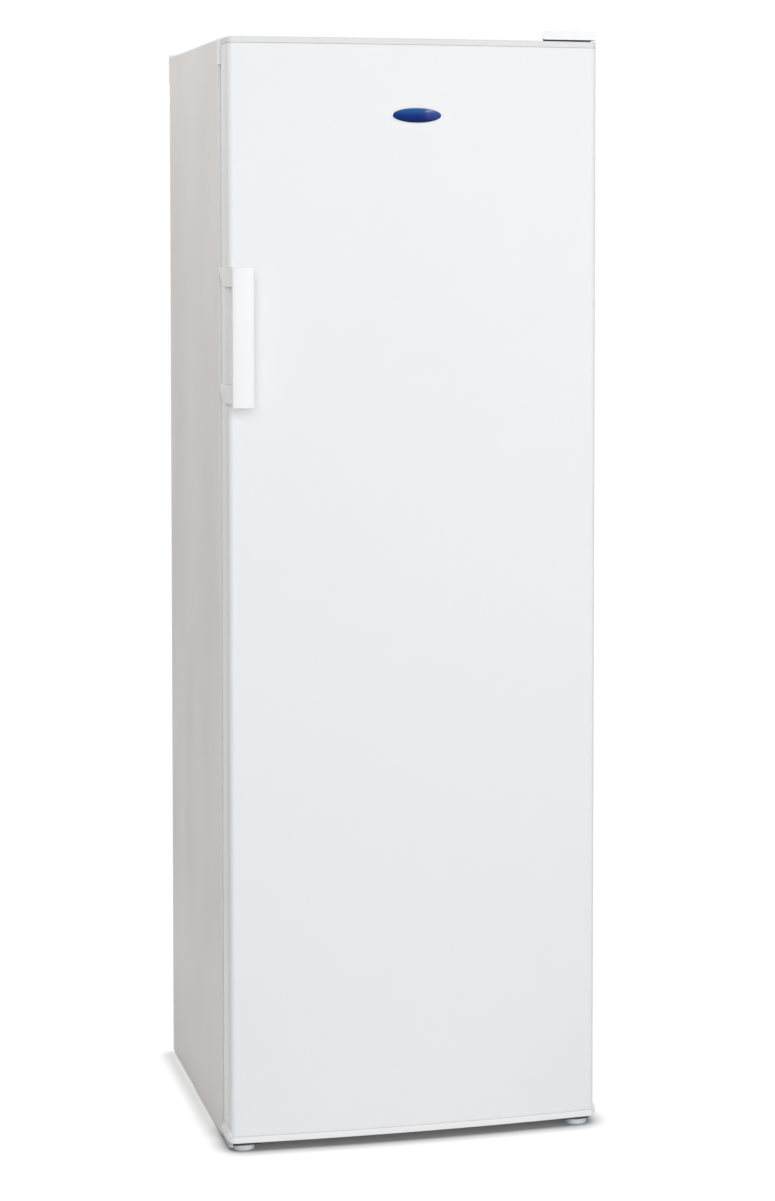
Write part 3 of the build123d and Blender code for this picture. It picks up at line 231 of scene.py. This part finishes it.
def use_group(tree, group, **inputs):
    """The outputs of a shared effect, placed with this finish's own values."""
    placed = add_node(tree, "ShaderNodeGroup", node_tree=group)
    for name, value in inputs.items():
        socket = placed.inputs[name.replace("_", " ")]
        if isinstance(value, bpy.types.NodeSocket):
            tree.links.new(value, socket)
        else:
            socket.default_value = value
    return placed.outputs


def relief(tree, height, depth):
    """The normal that a height pattern of the given depth, in metres, gives the surface."""
    return add_node(tree, "ShaderNodeBump", {"Height": height, "Distance": depth}).outputs["Normal"]


def new_finish(name, **settings):
    """A material with one Principled shader, whose plain numbers are set on the shader itself."""
    material = bpy.data.materials.new(name)
    material.use_nodes = True
    tree = material.node_tree
    tree.nodes.clear()
    shader = add_node(tree, "ShaderNodeBsdfPrincipled")
    for socket, value in settings.items():
        shader.inputs[socket.replace("_", " ")].default_value = value
    add_node(tree, "ShaderNodeOutputMaterial", {"Surface": shader.outputs["BSDF"]})
    return material, tree, shader


PATTERN_INPUT = {"paint_ripple": "Waves", "moulded_grain": "Cells", "rolled_lines": "Lines"}


def coat(name, colour, roughness, tone=(3.0, 0.03), gloss=(9.0, 0.05), grain=None, dust=0.0, joint=0.0,
         **settings):
    """A finish of one colour with drifting tone, marks in its gloss, a fine relief, dust and painted joint
    shade.

    Tone is the count of patches in a metre and their depth, gloss the count of marks and their variation,
    and grain the pattern of the relief, its count in a metre and its depth.
    """
    material, tree, shader = new_finish(name, **settings)
    patches, drift = tone
    shade = use_group(tree, uneven_tone, Colour=(*colour, 1.0), Patches=patches, Depth=drift)["Colour"]
    marks, variation = gloss
    shine = use_group(tree, wiped_gloss, Roughness=roughness, Marks=marks, Variation=variation)["Roughness"]
    if dust:
        dusty = use_group(tree, settled_dust, Colour=shade, Roughness=shine, Amount=dust)
        shade, shine = dusty["Colour"], dusty["Roughness"]
    # Painted shade: the colour darkens where other surfaces stand close
    if joint:
        shade = use_group(tree, joint_shade, Colour=shade, Depth=joint)["Colour"]
    tree.links.new(shade, shader.inputs["Base Color"])
    tree.links.new(shine, shader.inputs["Roughness"])
    if grain:
        pattern, count, depth = grain
        outputs = use_group(tree, pattern, **{PATTERN_INPUT[pattern.name]: count})
        tree.links.new(relief(tree, outputs["Height"], depth), shader.inputs["Normal"])
    return material


# Finishes

white_paint = coat("white_paint", (0.86, 0.866, 0.878), 0.45, tone=(1.2, 0.012), gloss=(7.0, 0.05),
                   grain=(paint_ripple, 320.0, 0.02 * MM), joint=0.4, Specular_IOR_Level=0.32)
white_moulding = coat("white_moulding", (0.905, 0.907, 0.912), 0.42,
                      tone=(4.0, 0.015), gloss=(14.0, 0.05),
                      grain=(moulded_grain, 1600.0, 0.01 * MM), joint=0.4)
# Painted shade: a greyer copy of the white moulding, so that the top cap of the door reads darker
cap_moulding_painted_shade = coat("cap_moulding_painted_shade", (0.77, 0.772, 0.778), 0.45, tone=(4.0, 0.015), gloss=(14.0, 0.05),
                    grain=(moulded_grain, 1600.0, 0.01 * MM), joint=0.4, Specular_IOR_Level=0.3)
white_lining = coat("white_lining", (0.86, 0.865, 0.872), 0.34, tone=(2.0, 0.01), gloss=(8.0, 0.04),
                    grain=(paint_ripple, 60.0, 0.03 * MM))
gasket_vinyl = coat("gasket_vinyl", (0.80, 0.80, 0.805), 0.55, tone=(8.0, 0.04), gloss=(20.0, 0.08),
                    grain=(moulded_grain, 900.0, 0.02 * MM))
grey_plastic = coat("grey_plastic", (0.50, 0.51, 0.53), 0.5, tone=(9.0, 0.04), gloss=(20.0, 0.06),
                    grain=(moulded_grain, 1400.0, 0.02 * MM))
foot_plastic = coat("foot_plastic", (0.64, 0.68, 0.73), 0.48, tone=(12.0, 0.05), gloss=(25.0, 0.08),
                    grain=(moulded_grain, 1200.0, 0.02 * MM))
black_plastic = coat("black_plastic", (0.028, 0.028, 0.031), 0.5, gloss=(18.0, 0.08),
                     grain=(moulded_grain, 1000.0, 0.04 * MM), dust=0.22)
black_enamel = coat("black_enamel", (0.022, 0.022, 0.023), 0.38, gloss=(14.0, 0.08),
                    grain=(paint_ripple, 420.0, 0.03 * MM), dust=0.25)
bracket_enamel = coat("bracket_enamel", (0.035, 0.035, 0.037), 0.45, gloss=(25.0, 0.08),
                      grain=(paint_ripple, 500.0, 0.03 * MM))
black_rubber = coat("black_rubber", (0.02, 0.02, 0.02), 0.8, gloss=(20.0, 0.06),
                    grain=(moulded_grain, 700.0, 0.06 * MM), dust=0.2)
zinc_plate = coat("zinc_plate", (0.68, 0.69, 0.70), 0.32, tone=(40.0, 0.12), gloss=(60.0, 0.1),
                  grain=(rolled_lines, 900.0, 0.01 * MM), Metallic=1.0)
mill_aluminium = coat("mill_aluminium", (0.78, 0.79, 0.80), 0.34, tone=(6.0, 0.08), gloss=(12.0, 0.08),
                      grain=(rolled_lines, 700.0, 0.02 * MM), Metallic=1.0)


def sheet_paint():
    """Paint of the cabinet: warm white darkened as painted shade, lighter as painted light on the front
    edge where the sheet turns in.
    """
    material, tree, shader = new_finish("cabinet_paint")
    normal = add_node(tree, "ShaderNodeNewGeometry").outputs["Normal"]
    across = add_node(tree, "ShaderNodeSeparateXYZ", {"Vector": normal}).outputs["Y"]
    # Painted light: faces that look forward get a lighter white, and the side panels a darker one as
    # painted shade
    painted_light_front_edge = spread(tree, across, -0.9, -0.4, 1.0, 0.0)
    panel_white_painted_shade, edge_white_painted_light = (0.762, 0.742, 0.732, 1.0), (0.93, 0.925, 0.92, 1.0)
    shade = mix_colours(tree, painted_light_front_edge, panel_white_painted_shade, edge_white_painted_light)
    toned = use_group(tree, uneven_tone, Colour=shade, Patches=1.2, Depth=0.012)["Colour"]
    tree.links.new(toned, shader.inputs["Base Color"])
    shine = use_group(tree, wiped_gloss, Roughness=0.38, Marks=7.0, Variation=0.05)["Roughness"]
    tree.links.new(shine, shader.inputs["Roughness"])
    ripple = use_group(tree, paint_ripple, Waves=320.0)["Height"]
    tree.links.new(relief(tree, ripple, 0.02 * MM), shader.inputs["Normal"])
    return material


def spangled_zinc():
    """Galvanised sheet: flat zinc crystals of slightly different tone and gloss."""
    material, tree, shader = new_finish("galvanised_sheet", Metallic=1.0)
    inputs = {"Vector": surface_place(tree), "Scale": 90.0}
    crystals = add_node(tree, "ShaderNodeTexVoronoi", inputs)
    tone = add_node(tree, "ShaderNodeSeparateColor", {"Color": crystals.outputs["Color"]}).outputs["Red"]
    shade = mix_colours(tree, tone, (0.50, 0.52, 0.54, 1.0), (0.66, 0.68, 0.70, 1.0))
    rough = spread(tree, tone, 0.0, 1.0, 0.36, 0.52)
    dusty = use_group(tree, settled_dust, Colour=shade, Roughness=rough, Amount=0.2)
    tree.links.new(dusty["Colour"], shader.inputs["Base Color"])
    tree.links.new(dusty["Roughness"], shader.inputs["Roughness"])
    lines = use_group(tree, rolled_lines, Lines=600.0)["Height"]
    tree.links.new(relief(tree, lines, 0.02 * MM), shader.inputs["Normal"])
    return material


def drawn_copper():
    """Copper tube with brown tarnish in patches."""
    material, tree, shader = new_finish("drawn_copper", Metallic=1.0)
    tarnish = spread(tree, noise(tree, surface_place(tree), 45.0, 5.0, 0.6), 0.42, 0.68, 0.0, 1.0)
    shade = mix_colours(tree, tarnish, (0.75, 0.42, 0.28, 1.0), (0.34, 0.17, 0.10, 1.0))
    tree.links.new(shade, shader.inputs["Base Color"])
    tree.links.new(spread(tree, tarnish, 0.0, 1.0, 0.24, 0.5), shader.inputs["Roughness"])
    return material


def cream_foam():
    """Rigid insulation: cream, with small open cells."""
    material, tree, shader = new_finish("cream_foam")
    cells = use_group(tree, moulded_grain, Cells=450.0)["Height"]
    shade = mix_colours(tree, cells, (0.80, 0.70, 0.48, 1.0), (0.87, 0.80, 0.62, 1.0))
    tree.links.new(shade, shader.inputs["Base Color"])
    shader.inputs["Roughness"].default_value = 0.85
    tree.links.new(relief(tree, cells, 0.4 * MM), shader.inputs["Normal"])
    return material


def clear_glass():
    """Toughened shelf glass with a faint green body."""
    material, tree, shader = new_finish("clear_glass", IOR=1.52, Transmission_Weight=1.0)
    shade = use_group(tree, uneven_tone, Colour=(0.90, 0.965, 0.94, 1.0), Patches=4.0, Depth=0.01)
    tree.links.new(shade["Colour"], shader.inputs["Base Color"])
    shine = use_group(tree, wiped_gloss, Roughness=0.02, Marks=12.0, Variation=0.015)
    tree.links.new(shine["Roughness"], shader.inputs["Roughness"])
    return material


def clear_moulding(name, colour, roughness, transmission):
    """Clear polystyrene with the soft haze and waves of moulding."""
    material, tree, shader = new_finish(name, IOR=1.5, Transmission_Weight=transmission)
    shade = use_group(tree, uneven_tone, Colour=(*colour, 1.0), Patches=6.0, Depth=0.02)
    tree.links.new(shade["Colour"], shader.inputs["Base Color"])
    shine = use_group(tree, wiped_gloss, Roughness=roughness, Marks=15.0, Variation=0.04)
    tree.links.new(shine["Roughness"], shader.inputs["Roughness"])
    waves = use_group(tree, paint_ripple, Waves=70.0)["Height"]
    tree.links.new(relief(tree, waves, 0.1 * MM), shader.inputs["Normal"])
    return material


cabinet_paint = sheet_paint()
galvanised_sheet = spangled_zinc()
copper = drawn_copper()
foam = cream_foam()
glass = clear_glass()
clear_plastic = clear_moulding("clear_plastic", (0.955, 0.97, 0.98), 0.08, 0.94)
lamp_cover = clear_moulding("lamp_cover", (0.95, 0.95, 0.93), 0.38, 0.6)

finishes = {
    white_paint: ["door_skin"],
    cabinet_paint: ["cabinet_wrapper"],
    white_moulding: [
        "corner_cap", "hinge_cover", "door_cap_bottom", "handle", "shelf_trims",
        "control_housing", "rear_spacer_left", "rear_spacer_right",
    ],
    cap_moulding_painted_shade: ["door_cap_top"],
    white_lining: ["inner_liner", "door_liner", "door_switch_plunger"],
    galvanised_sheet: ["front_rail", "base_pan", "back_panel", "compressor_plate"],
    black_enamel: ["compressor", "condenser_tube", "condenser_wires"],
    bracket_enamel: ["hinge_bracket_top", "hinge_bracket_bottom", "foot_bracket"],
    zinc_plate: ["bracket_screws", "handle_screws", "hinge_pins", "roller_axles"],
    black_plastic: ["terminal_cover", "drip_tray", "condenser_clips"],
    grey_plastic: ["corner_shoe", "drain_tube", "thermostat_knob"],
    foot_plastic: ["foot_left", "foot_right", "roller_left", "roller_right", "hinge_bushes"],
    foam: ["cabinet_foam", "door_foam", "door_rib_foam"],
    mill_aluminium: ["evaporator_plate"],
    copper: ["filter_drier", "refrigerant_tubes"],
    glass: ["crisper_cover_glass", "shelf_glass_1", "shelf_glass_2", "shelf_glass_3", "shelf_glass_4"],
    clear_plastic: [
        "crisper_drawer", "door_balcony_1", "door_balcony_2", "door_balcony_3", "door_balcony_4",
    ],
    lamp_cover: ["lamp_lens"],
    gasket_vinyl: ["door_gasket"],
    black_rubber: ["compressor_grommets", "cord_gland"],
}
for material, names in finishes.items():
    for name in names:
        for place in nodes[name].material_slots:
            place.material = material


def piece_from(name, points, faces, material, smooth_angle=35.0):
    """A mesh piece from points in metres, smooth apart from its sharp edges."""
    mesh = bpy.data.meshes.new(name)
    mesh.from_pydata(points, [], faces)
    mesh.materials.append(material)
    mesh.polygons.foreach_set("use_smooth", [True] * len(mesh.polygons))
    mesh.set_sharp_from_angle(angle=math.radians(smooth_angle))
    mesh.update()
    piece = bpy.data.objects.new(name, mesh)
    bpy.context.scene.collection.objects.link(piece)
    return piece


def loops_joined(count, size, closed=False):
    """The quads between neighbouring loops of points, all of one size."""
    pairs = [(n, n + 1) for n in range(count - 1)] + ([(count - 1, 0)] if closed else [])
    return [
        (low * size + n, low * size + (n + 1) % size, high * size + (n + 1) % size, high * size + n)
        for low, high in pairs
        for n in range(size)
    ]


# Badge: a domed oval without lettering, in a bright rim

badge_low, badge_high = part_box("badge")
skin_low, skin_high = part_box("door_skin")
badge_middle = (badge_low + badge_high) / 2
badge_half_length = (badge_high.x - badge_low.x) / 2
badge_half_height = (badge_high.z - badge_low.z) / 2
BADGE_STEPS = 96
RIM_WIDTH = 1.3 * MM
DOME_EDGE, DOME_RISE = 1.1 * MM, 1.3 * MM
DOOR_HALF = (skin_high.x - skin_low.x) / 2
DOOR_BULGE = 10.5 * MM
DOOR_BOW_RADIUS = (DOOR_HALF ** 2 + DOOR_BULGE ** 2) / (2 * DOOR_BULGE)


def oval(inset, height, share=1.0):
    """A loop of points round the badge, at a height above the bowed door."""
    loop = []
    for step in range(BADGE_STEPS):
        turn = 2 * math.pi * step / BADGE_STEPS
        x = (badge_half_length - inset) * share * math.cos(turn)
        z = (badge_half_height - inset) * share * math.sin(turn)
        door_y = skin_low.y + x * x / (2 * DOOR_BOW_RADIUS)
        loop.append((badge_middle.x + x, door_y - height, badge_middle.z + z))
    return loop


# Inset and height of the rim's section, in millimetres
rim_profile = [(0.0, 0.0), (0.0, 0.9), (0.25, 1.35), (0.65, 1.5), (1.05, 1.35), (1.3, 1.0), (1.3, 0.0)]
rim_loops = [oval(inset * MM, height * MM) for inset, height in rim_profile]
dome_shares = [1.0, 0.97, 0.9, 0.78, 0.62, 0.44, 0.24, 0.08]
dome_loops = [oval(RIM_WIDTH, 0.0)]
dome_loops += [oval(RIM_WIDTH, DOME_EDGE + DOME_RISE * (1 - share ** 2), share) for share in dome_shares]


def chrome_rim():
    """Bright plated plastic."""
    return coat("chrome_rim", (0.80, 0.81, 0.83), 0.16,
                tone=(30.0, 0.04), gloss=(50.0, 0.05), Metallic=1.0)


def blue_lacquer():
    """Blue under a clear dome: navy at its foot as painted shade, deep blue across the middle, lighter at
    the top as painted light.
    """
    settings = {"Coat_Weight": 0.2, "Coat_Roughness": 0.05, "Specular_IOR_Level": 0.05}
    material, tree, shader = new_finish("blue_lacquer", **settings)
    navy, deep_blue = (0.001, 0.004, 0.04, 1.0), (0.0, 0.024, 0.21, 1.0)
    light_blue_painted_light = (0.02, 0.14, 0.40, 1.0)
    height = add_node(tree, "ShaderNodeSeparateXYZ", {"Vector": surface_place(tree)}).outputs["Z"]
    # Painted shade towards the foot of the dome and painted light towards its top
    painted_shade_share = spread(tree, height, badge_low.z, badge_middle.z, 0.0, 1.0)
    painted_light_share = spread(tree, height, badge_middle.z, badge_high.z, 0.0, 1.0)
    shade = mix_colours(tree, painted_light_share, mix_colours(tree, painted_shade_share, navy, deep_blue), light_blue_painted_light)
    tinted = use_group(tree, uneven_tone, Colour=shade, Patches=60.0, Depth=0.04)["Colour"]
    tree.links.new(tinted, shader.inputs["Base Color"])
    shine = use_group(tree, wiped_gloss, Roughness=0.28, Marks=80.0, Variation=0.04)["Roughness"]
    tree.links.new(shine, shader.inputs["Roughness"])
    return material


flat_back = [tuple(reversed(range(BADGE_STEPS)))]
dome_end = len(dome_loops) * BADGE_STEPS
crown = (badge_middle.x, skin_low.y - DOME_EDGE - DOME_RISE, badge_middle.z)
last_loop = dome_end - BADGE_STEPS
crown_faces = [(last_loop + n, last_loop + (n + 1) % BADGE_STEPS, dome_end) for n in range(BADGE_STEPS)]
badge_rim = piece_from(
    "badge_rim", sum(rim_loops, []), loops_joined(len(rim_loops), BADGE_STEPS, closed=True), chrome_rim(),
)
badge_dome = piece_from(
    "badge_dome", sum(dome_loops, []) + [crown],
    loops_joined(len(dome_loops), BADGE_STEPS) + crown_faces + flat_back, blue_lacquer(),
)
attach(badge_rim, "door")
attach(badge_dome, "door")
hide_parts("badge")


# Door gasket: a soft bellows profile with mitred corners

gasket_low, gasket_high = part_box("door_gasket")
GASKET_SMOOTH_ANGLE = 50.0
# Inset from the gasket's outer edge and depth behind its front face, in millimetres
gasket_profile = [
    (2.5, 0.0), (15.5, 0.0), (16.2, 1.2), (15.4, 2.4), (12.2, 3.2), (11.6, 4.2), (12.4, 5.2),
    (15.6, 6.0), (16.9, 7.2), (16.4, 8.6), (14.2, 9.5), (13.8, 10.4), (15.2, 11.3), (17.2, 12.2),
    (17.9, 13.6), (17.8, 15.4), (16.8, 16.5), (14.0, 16.7), (4.0, 16.7), (1.2, 16.5), (0.2, 15.4),
    (0.1, 13.6), (0.8, 12.2), (2.8, 11.3), (4.2, 10.4), (3.8, 9.5), (1.6, 8.6), (1.1, 7.2),
    (2.4, 6.0), (5.6, 5.2), (6.4, 4.2), (5.8, 3.2), (2.6, 2.4), (1.8, 1.2),
]
gasket_loops = []
for side, end in ((-1, -1), (1, -1), (1, 1), (-1, 1)):
    corner_x = gasket_low.x if side < 0 else gasket_high.x
    corner_z = gasket_low.z if end < 0 else gasket_high.z
    gasket_loops.append([
        (corner_x - side * inset * MM, gasket_low.y + depth * MM, corner_z - end * inset * MM)
        for inset, depth in gasket_profile
    ])
gasket = piece_from(
    "gasket_bellows", sum(gasket_loops, []),
    loops_joined(len(gasket_loops), len(gasket_profile), closed=True), gasket_vinyl,
    GASKET_SMOOTH_ANGLE,
)
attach(gasket, "door")
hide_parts("door_gasket")


# Thermostat scale: a printed wedge that widens towards the coldest setting

knob_low, knob_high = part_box("thermostat_knob")
housing_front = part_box("control_housing")[0].y
SCALE_STEPS = 60
SCALE_START, SCALE_END = math.radians(215), math.radians(-35)
SCALE_INNER = 19.3 * MM
SCALE_THIN, SCALE_WIDENING = 0.4 * MM, 2.2 * MM
INK = 0.15 * MM
knob_middle = (knob_low + knob_high) / 2
scale_loops = []
for step in range(SCALE_STEPS + 1):
    share = step / SCALE_STEPS
    turn = SCALE_START + (SCALE_END - SCALE_START) * share
    outer = SCALE_INNER + SCALE_THIN + SCALE_WIDENING * share
    corners = [(SCALE_INNER, 0.0), (outer, 0.0), (outer, INK), (SCALE_INNER, INK)]
    scale_loops.append([
        (
            knob_middle.x + reach * math.cos(turn),
            housing_front - lift,
            knob_middle.z + reach * math.sin(turn),
        )
        for reach, lift in corners
    ])
corner_count = len(scale_loops[0])
scale_ends = [(0, 1, 2, 3), tuple(SCALE_STEPS * corner_count + n for n in (3, 2, 1, 0))]
thermostat_scale = piece_from(
    "thermostat_scale", sum(scale_loops, []), loops_joined(len(scale_loops), corner_count) + scale_ends,
    coat("scale_ink", (0.10, 0.13, 0.18), 0.5, tone=(60.0, 0.1), gloss=(60.0, 0.05)),
)
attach(thermostat_scale, "cabinet")


# Studio: white floor that keeps the contact shadow, white surroundings and soft lamps

FLOOR_HALF = 9.0
FLOOR_PALE = (0.8, 0.8, 0.8, 1.0)
FLOOR_SEEN = (0.22, 0.22, 0.22, 1.0)
FLOOR_GLOW = 0.96
# Contact shadow: how far it reaches, the openness where it starts and ends, and its darkest level
CONTACT_REACH = 0.042
CONTACT_CLOSED, CONTACT_OPEN, CONTACT_DARKEST = 0.3, 0.97, 0.07
SURROUNDINGS_TINT = (1.0, 0.985, 0.965, 1.0)
SURROUNDINGS_LEVEL = 0.3
BACKGROUND_WHITE = (1.0, 1.0, 1.0, 1.0)


def shown_directly(tree):
    """One for rays that show a surface: straight from the camera, mirrored, or through glass."""
    path = add_node(tree, "ShaderNodeLightPath").outputs
    straight = largest(tree, path["Is Camera Ray"], path["Is Glossy Ray"])
    return largest(tree, straight, path["Is Transmission Ray"])


def studio_floor():
    """Plain pale floor, which the camera sees as white apart from the shadow round the appliance."""
    material = bpy.data.materials.new("studio_floor")
    material.use_nodes = True
    tree = material.node_tree
    tree.nodes.clear()
    pale = add_node(tree, "ShaderNodeBsdfDiffuse", {"Color": FLOOR_PALE}).outputs[0]
    seen = add_node(tree, "ShaderNodeBsdfDiffuse", {"Color": FLOOR_SEEN}).outputs[0]
    nearby = add_node(tree, "ShaderNodeAmbientOcclusion", {"Distance": CONTACT_REACH}, samples=32)
    openness = nearby.outputs["AO"]
    open_share = spread(tree, openness, CONTACT_CLOSED, CONTACT_OPEN, CONTACT_DARKEST, 1.0)
    glow = add_node(tree, "ShaderNodeEmission", {"Strength": multiply(tree, open_share, FLOOR_GLOW)})
    bright = add_node(tree, "ShaderNodeAddShader", {0: seen, 1: glow.outputs[0]}).outputs[0]
    surface = add_node(tree, "ShaderNodeMixShader", {0: shown_directly(tree), 1: pale, 2: bright})
    add_node(tree, "ShaderNodeOutputMaterial", {"Surface": surface.outputs[0]})
    return material


floor_corners = [
    (-FLOOR_HALF, -FLOOR_HALF, 0.0), (FLOOR_HALF, -FLOOR_HALF, 0.0),
    (FLOOR_HALF, FLOOR_HALF, 0.0), (-FLOOR_HALF, FLOOR_HALF, 0.0),
]
floor = piece_from("studio_floor", floor_corners, [(0, 1, 2, 3)], studio_floor())



def studio_surroundings():
    """Soft light from all round, which the camera sees as plain white."""
    world = bpy.data.worlds.new("studio_surroundings")
    world.use_nodes = True
    tree = world.node_tree
    tree.nodes.clear()
    inputs = {"Color": SURROUNDINGS_TINT, "Strength": SURROUNDINGS_LEVEL}
    lighting = add_node(tree, "ShaderNodeBackground", inputs).outputs[0]
    white = add_node(tree, "ShaderNodeBackground", {"Color": BACKGROUND_WHITE, "Strength": 1.0}).outputs[0]
    surface = add_node(tree, "ShaderNodeMixShader", {0: shown_directly(tree), 1: lighting, 2: white})
    add_node(tree, "ShaderNodeOutputWorld", {"Surface": surface.outputs[0]})
    return world


bpy.context.scene.world = studio_surroundings()


def soft_lamp(name, place, aim, size, power, colour):
    """A square studio lamp that shines at a point, and that the camera doesn't see."""
    lamp = bpy.data.lights.new(name, "AREA")
    lamp.size = size
    lamp.energy = power
    lamp.color = colour
    holder = bpy.data.objects.new(name, lamp)
    holder.location = place
    holder.rotation_euler = (Vector(aim) - Vector(place)).to_track_quat("-Z", "Y").to_euler()
    holder.visible_camera = False
    bpy.context.scene.collection.objects.link(holder)


COOL_WHITE, WARM_WHITE, PLAIN_WHITE = (0.975, 0.985, 1.0), (1.0, 0.965, 0.94), (1.0, 1.0, 1.0)
DOOR_AIM, BADGE_AIM, SIDE_AIM = (0.0, -0.25, 0.7), (0.0, -0.27, 1.6), (-0.3, 0.0, 1.5)

# Each lamp's name, place, aim, size in metres, power in watts and colour
studio_lamps = [
    ("front_lamp", (-1.3, -5.2, 2.6), DOOR_AIM, 3.2, 112.0, COOL_WHITE),
    ("right_lamp", (2.5, -4.4, 1.8), DOOR_AIM, 2.4, 58.0, COOL_WHITE),
    ("glint_lamp", (1.296, -3.873, 2.834), BADGE_AIM, 0.14, 9.0, PLAIN_WHITE),
    ("side_lamp", (-1.3, 0.1, 2.7), SIDE_AIM, 0.8, 9.5, WARM_WHITE),
]
for lamp_values in studio_lamps:
    soft_lamp(*lamp_values)

# Camera: the photograph's own viewing angle, found by fitting the corners of the appliance

EYE = (-1.0549, -4.5268, 1.4328)
EYE_TILT, EYE_TURN = math.radians(87.401), math.radians(-13.932)
LENS, SENSOR_WIDTH = 84.231, 36.0
SHIFT_X, SHIFT_Y = -0.0244, -0.2

camera = bpy.data.cameras.new("photo_camera")
camera.lens = LENS
camera.sensor_width = SENSOR_WIDTH
camera.shift_x = SHIFT_X
camera.shift_y = SHIFT_Y
viewer = bpy.data.objects.new("photo_camera", camera)
viewer.location = EYE
viewer.rotation_euler = (EYE_TILT, 0.0, EYE_TURN)
bpy.context.scene.collection.objects.link(viewer)
bpy.context.scene.camera = viewer
bpy.context.scene.view_settings.view_transform = "Standard"
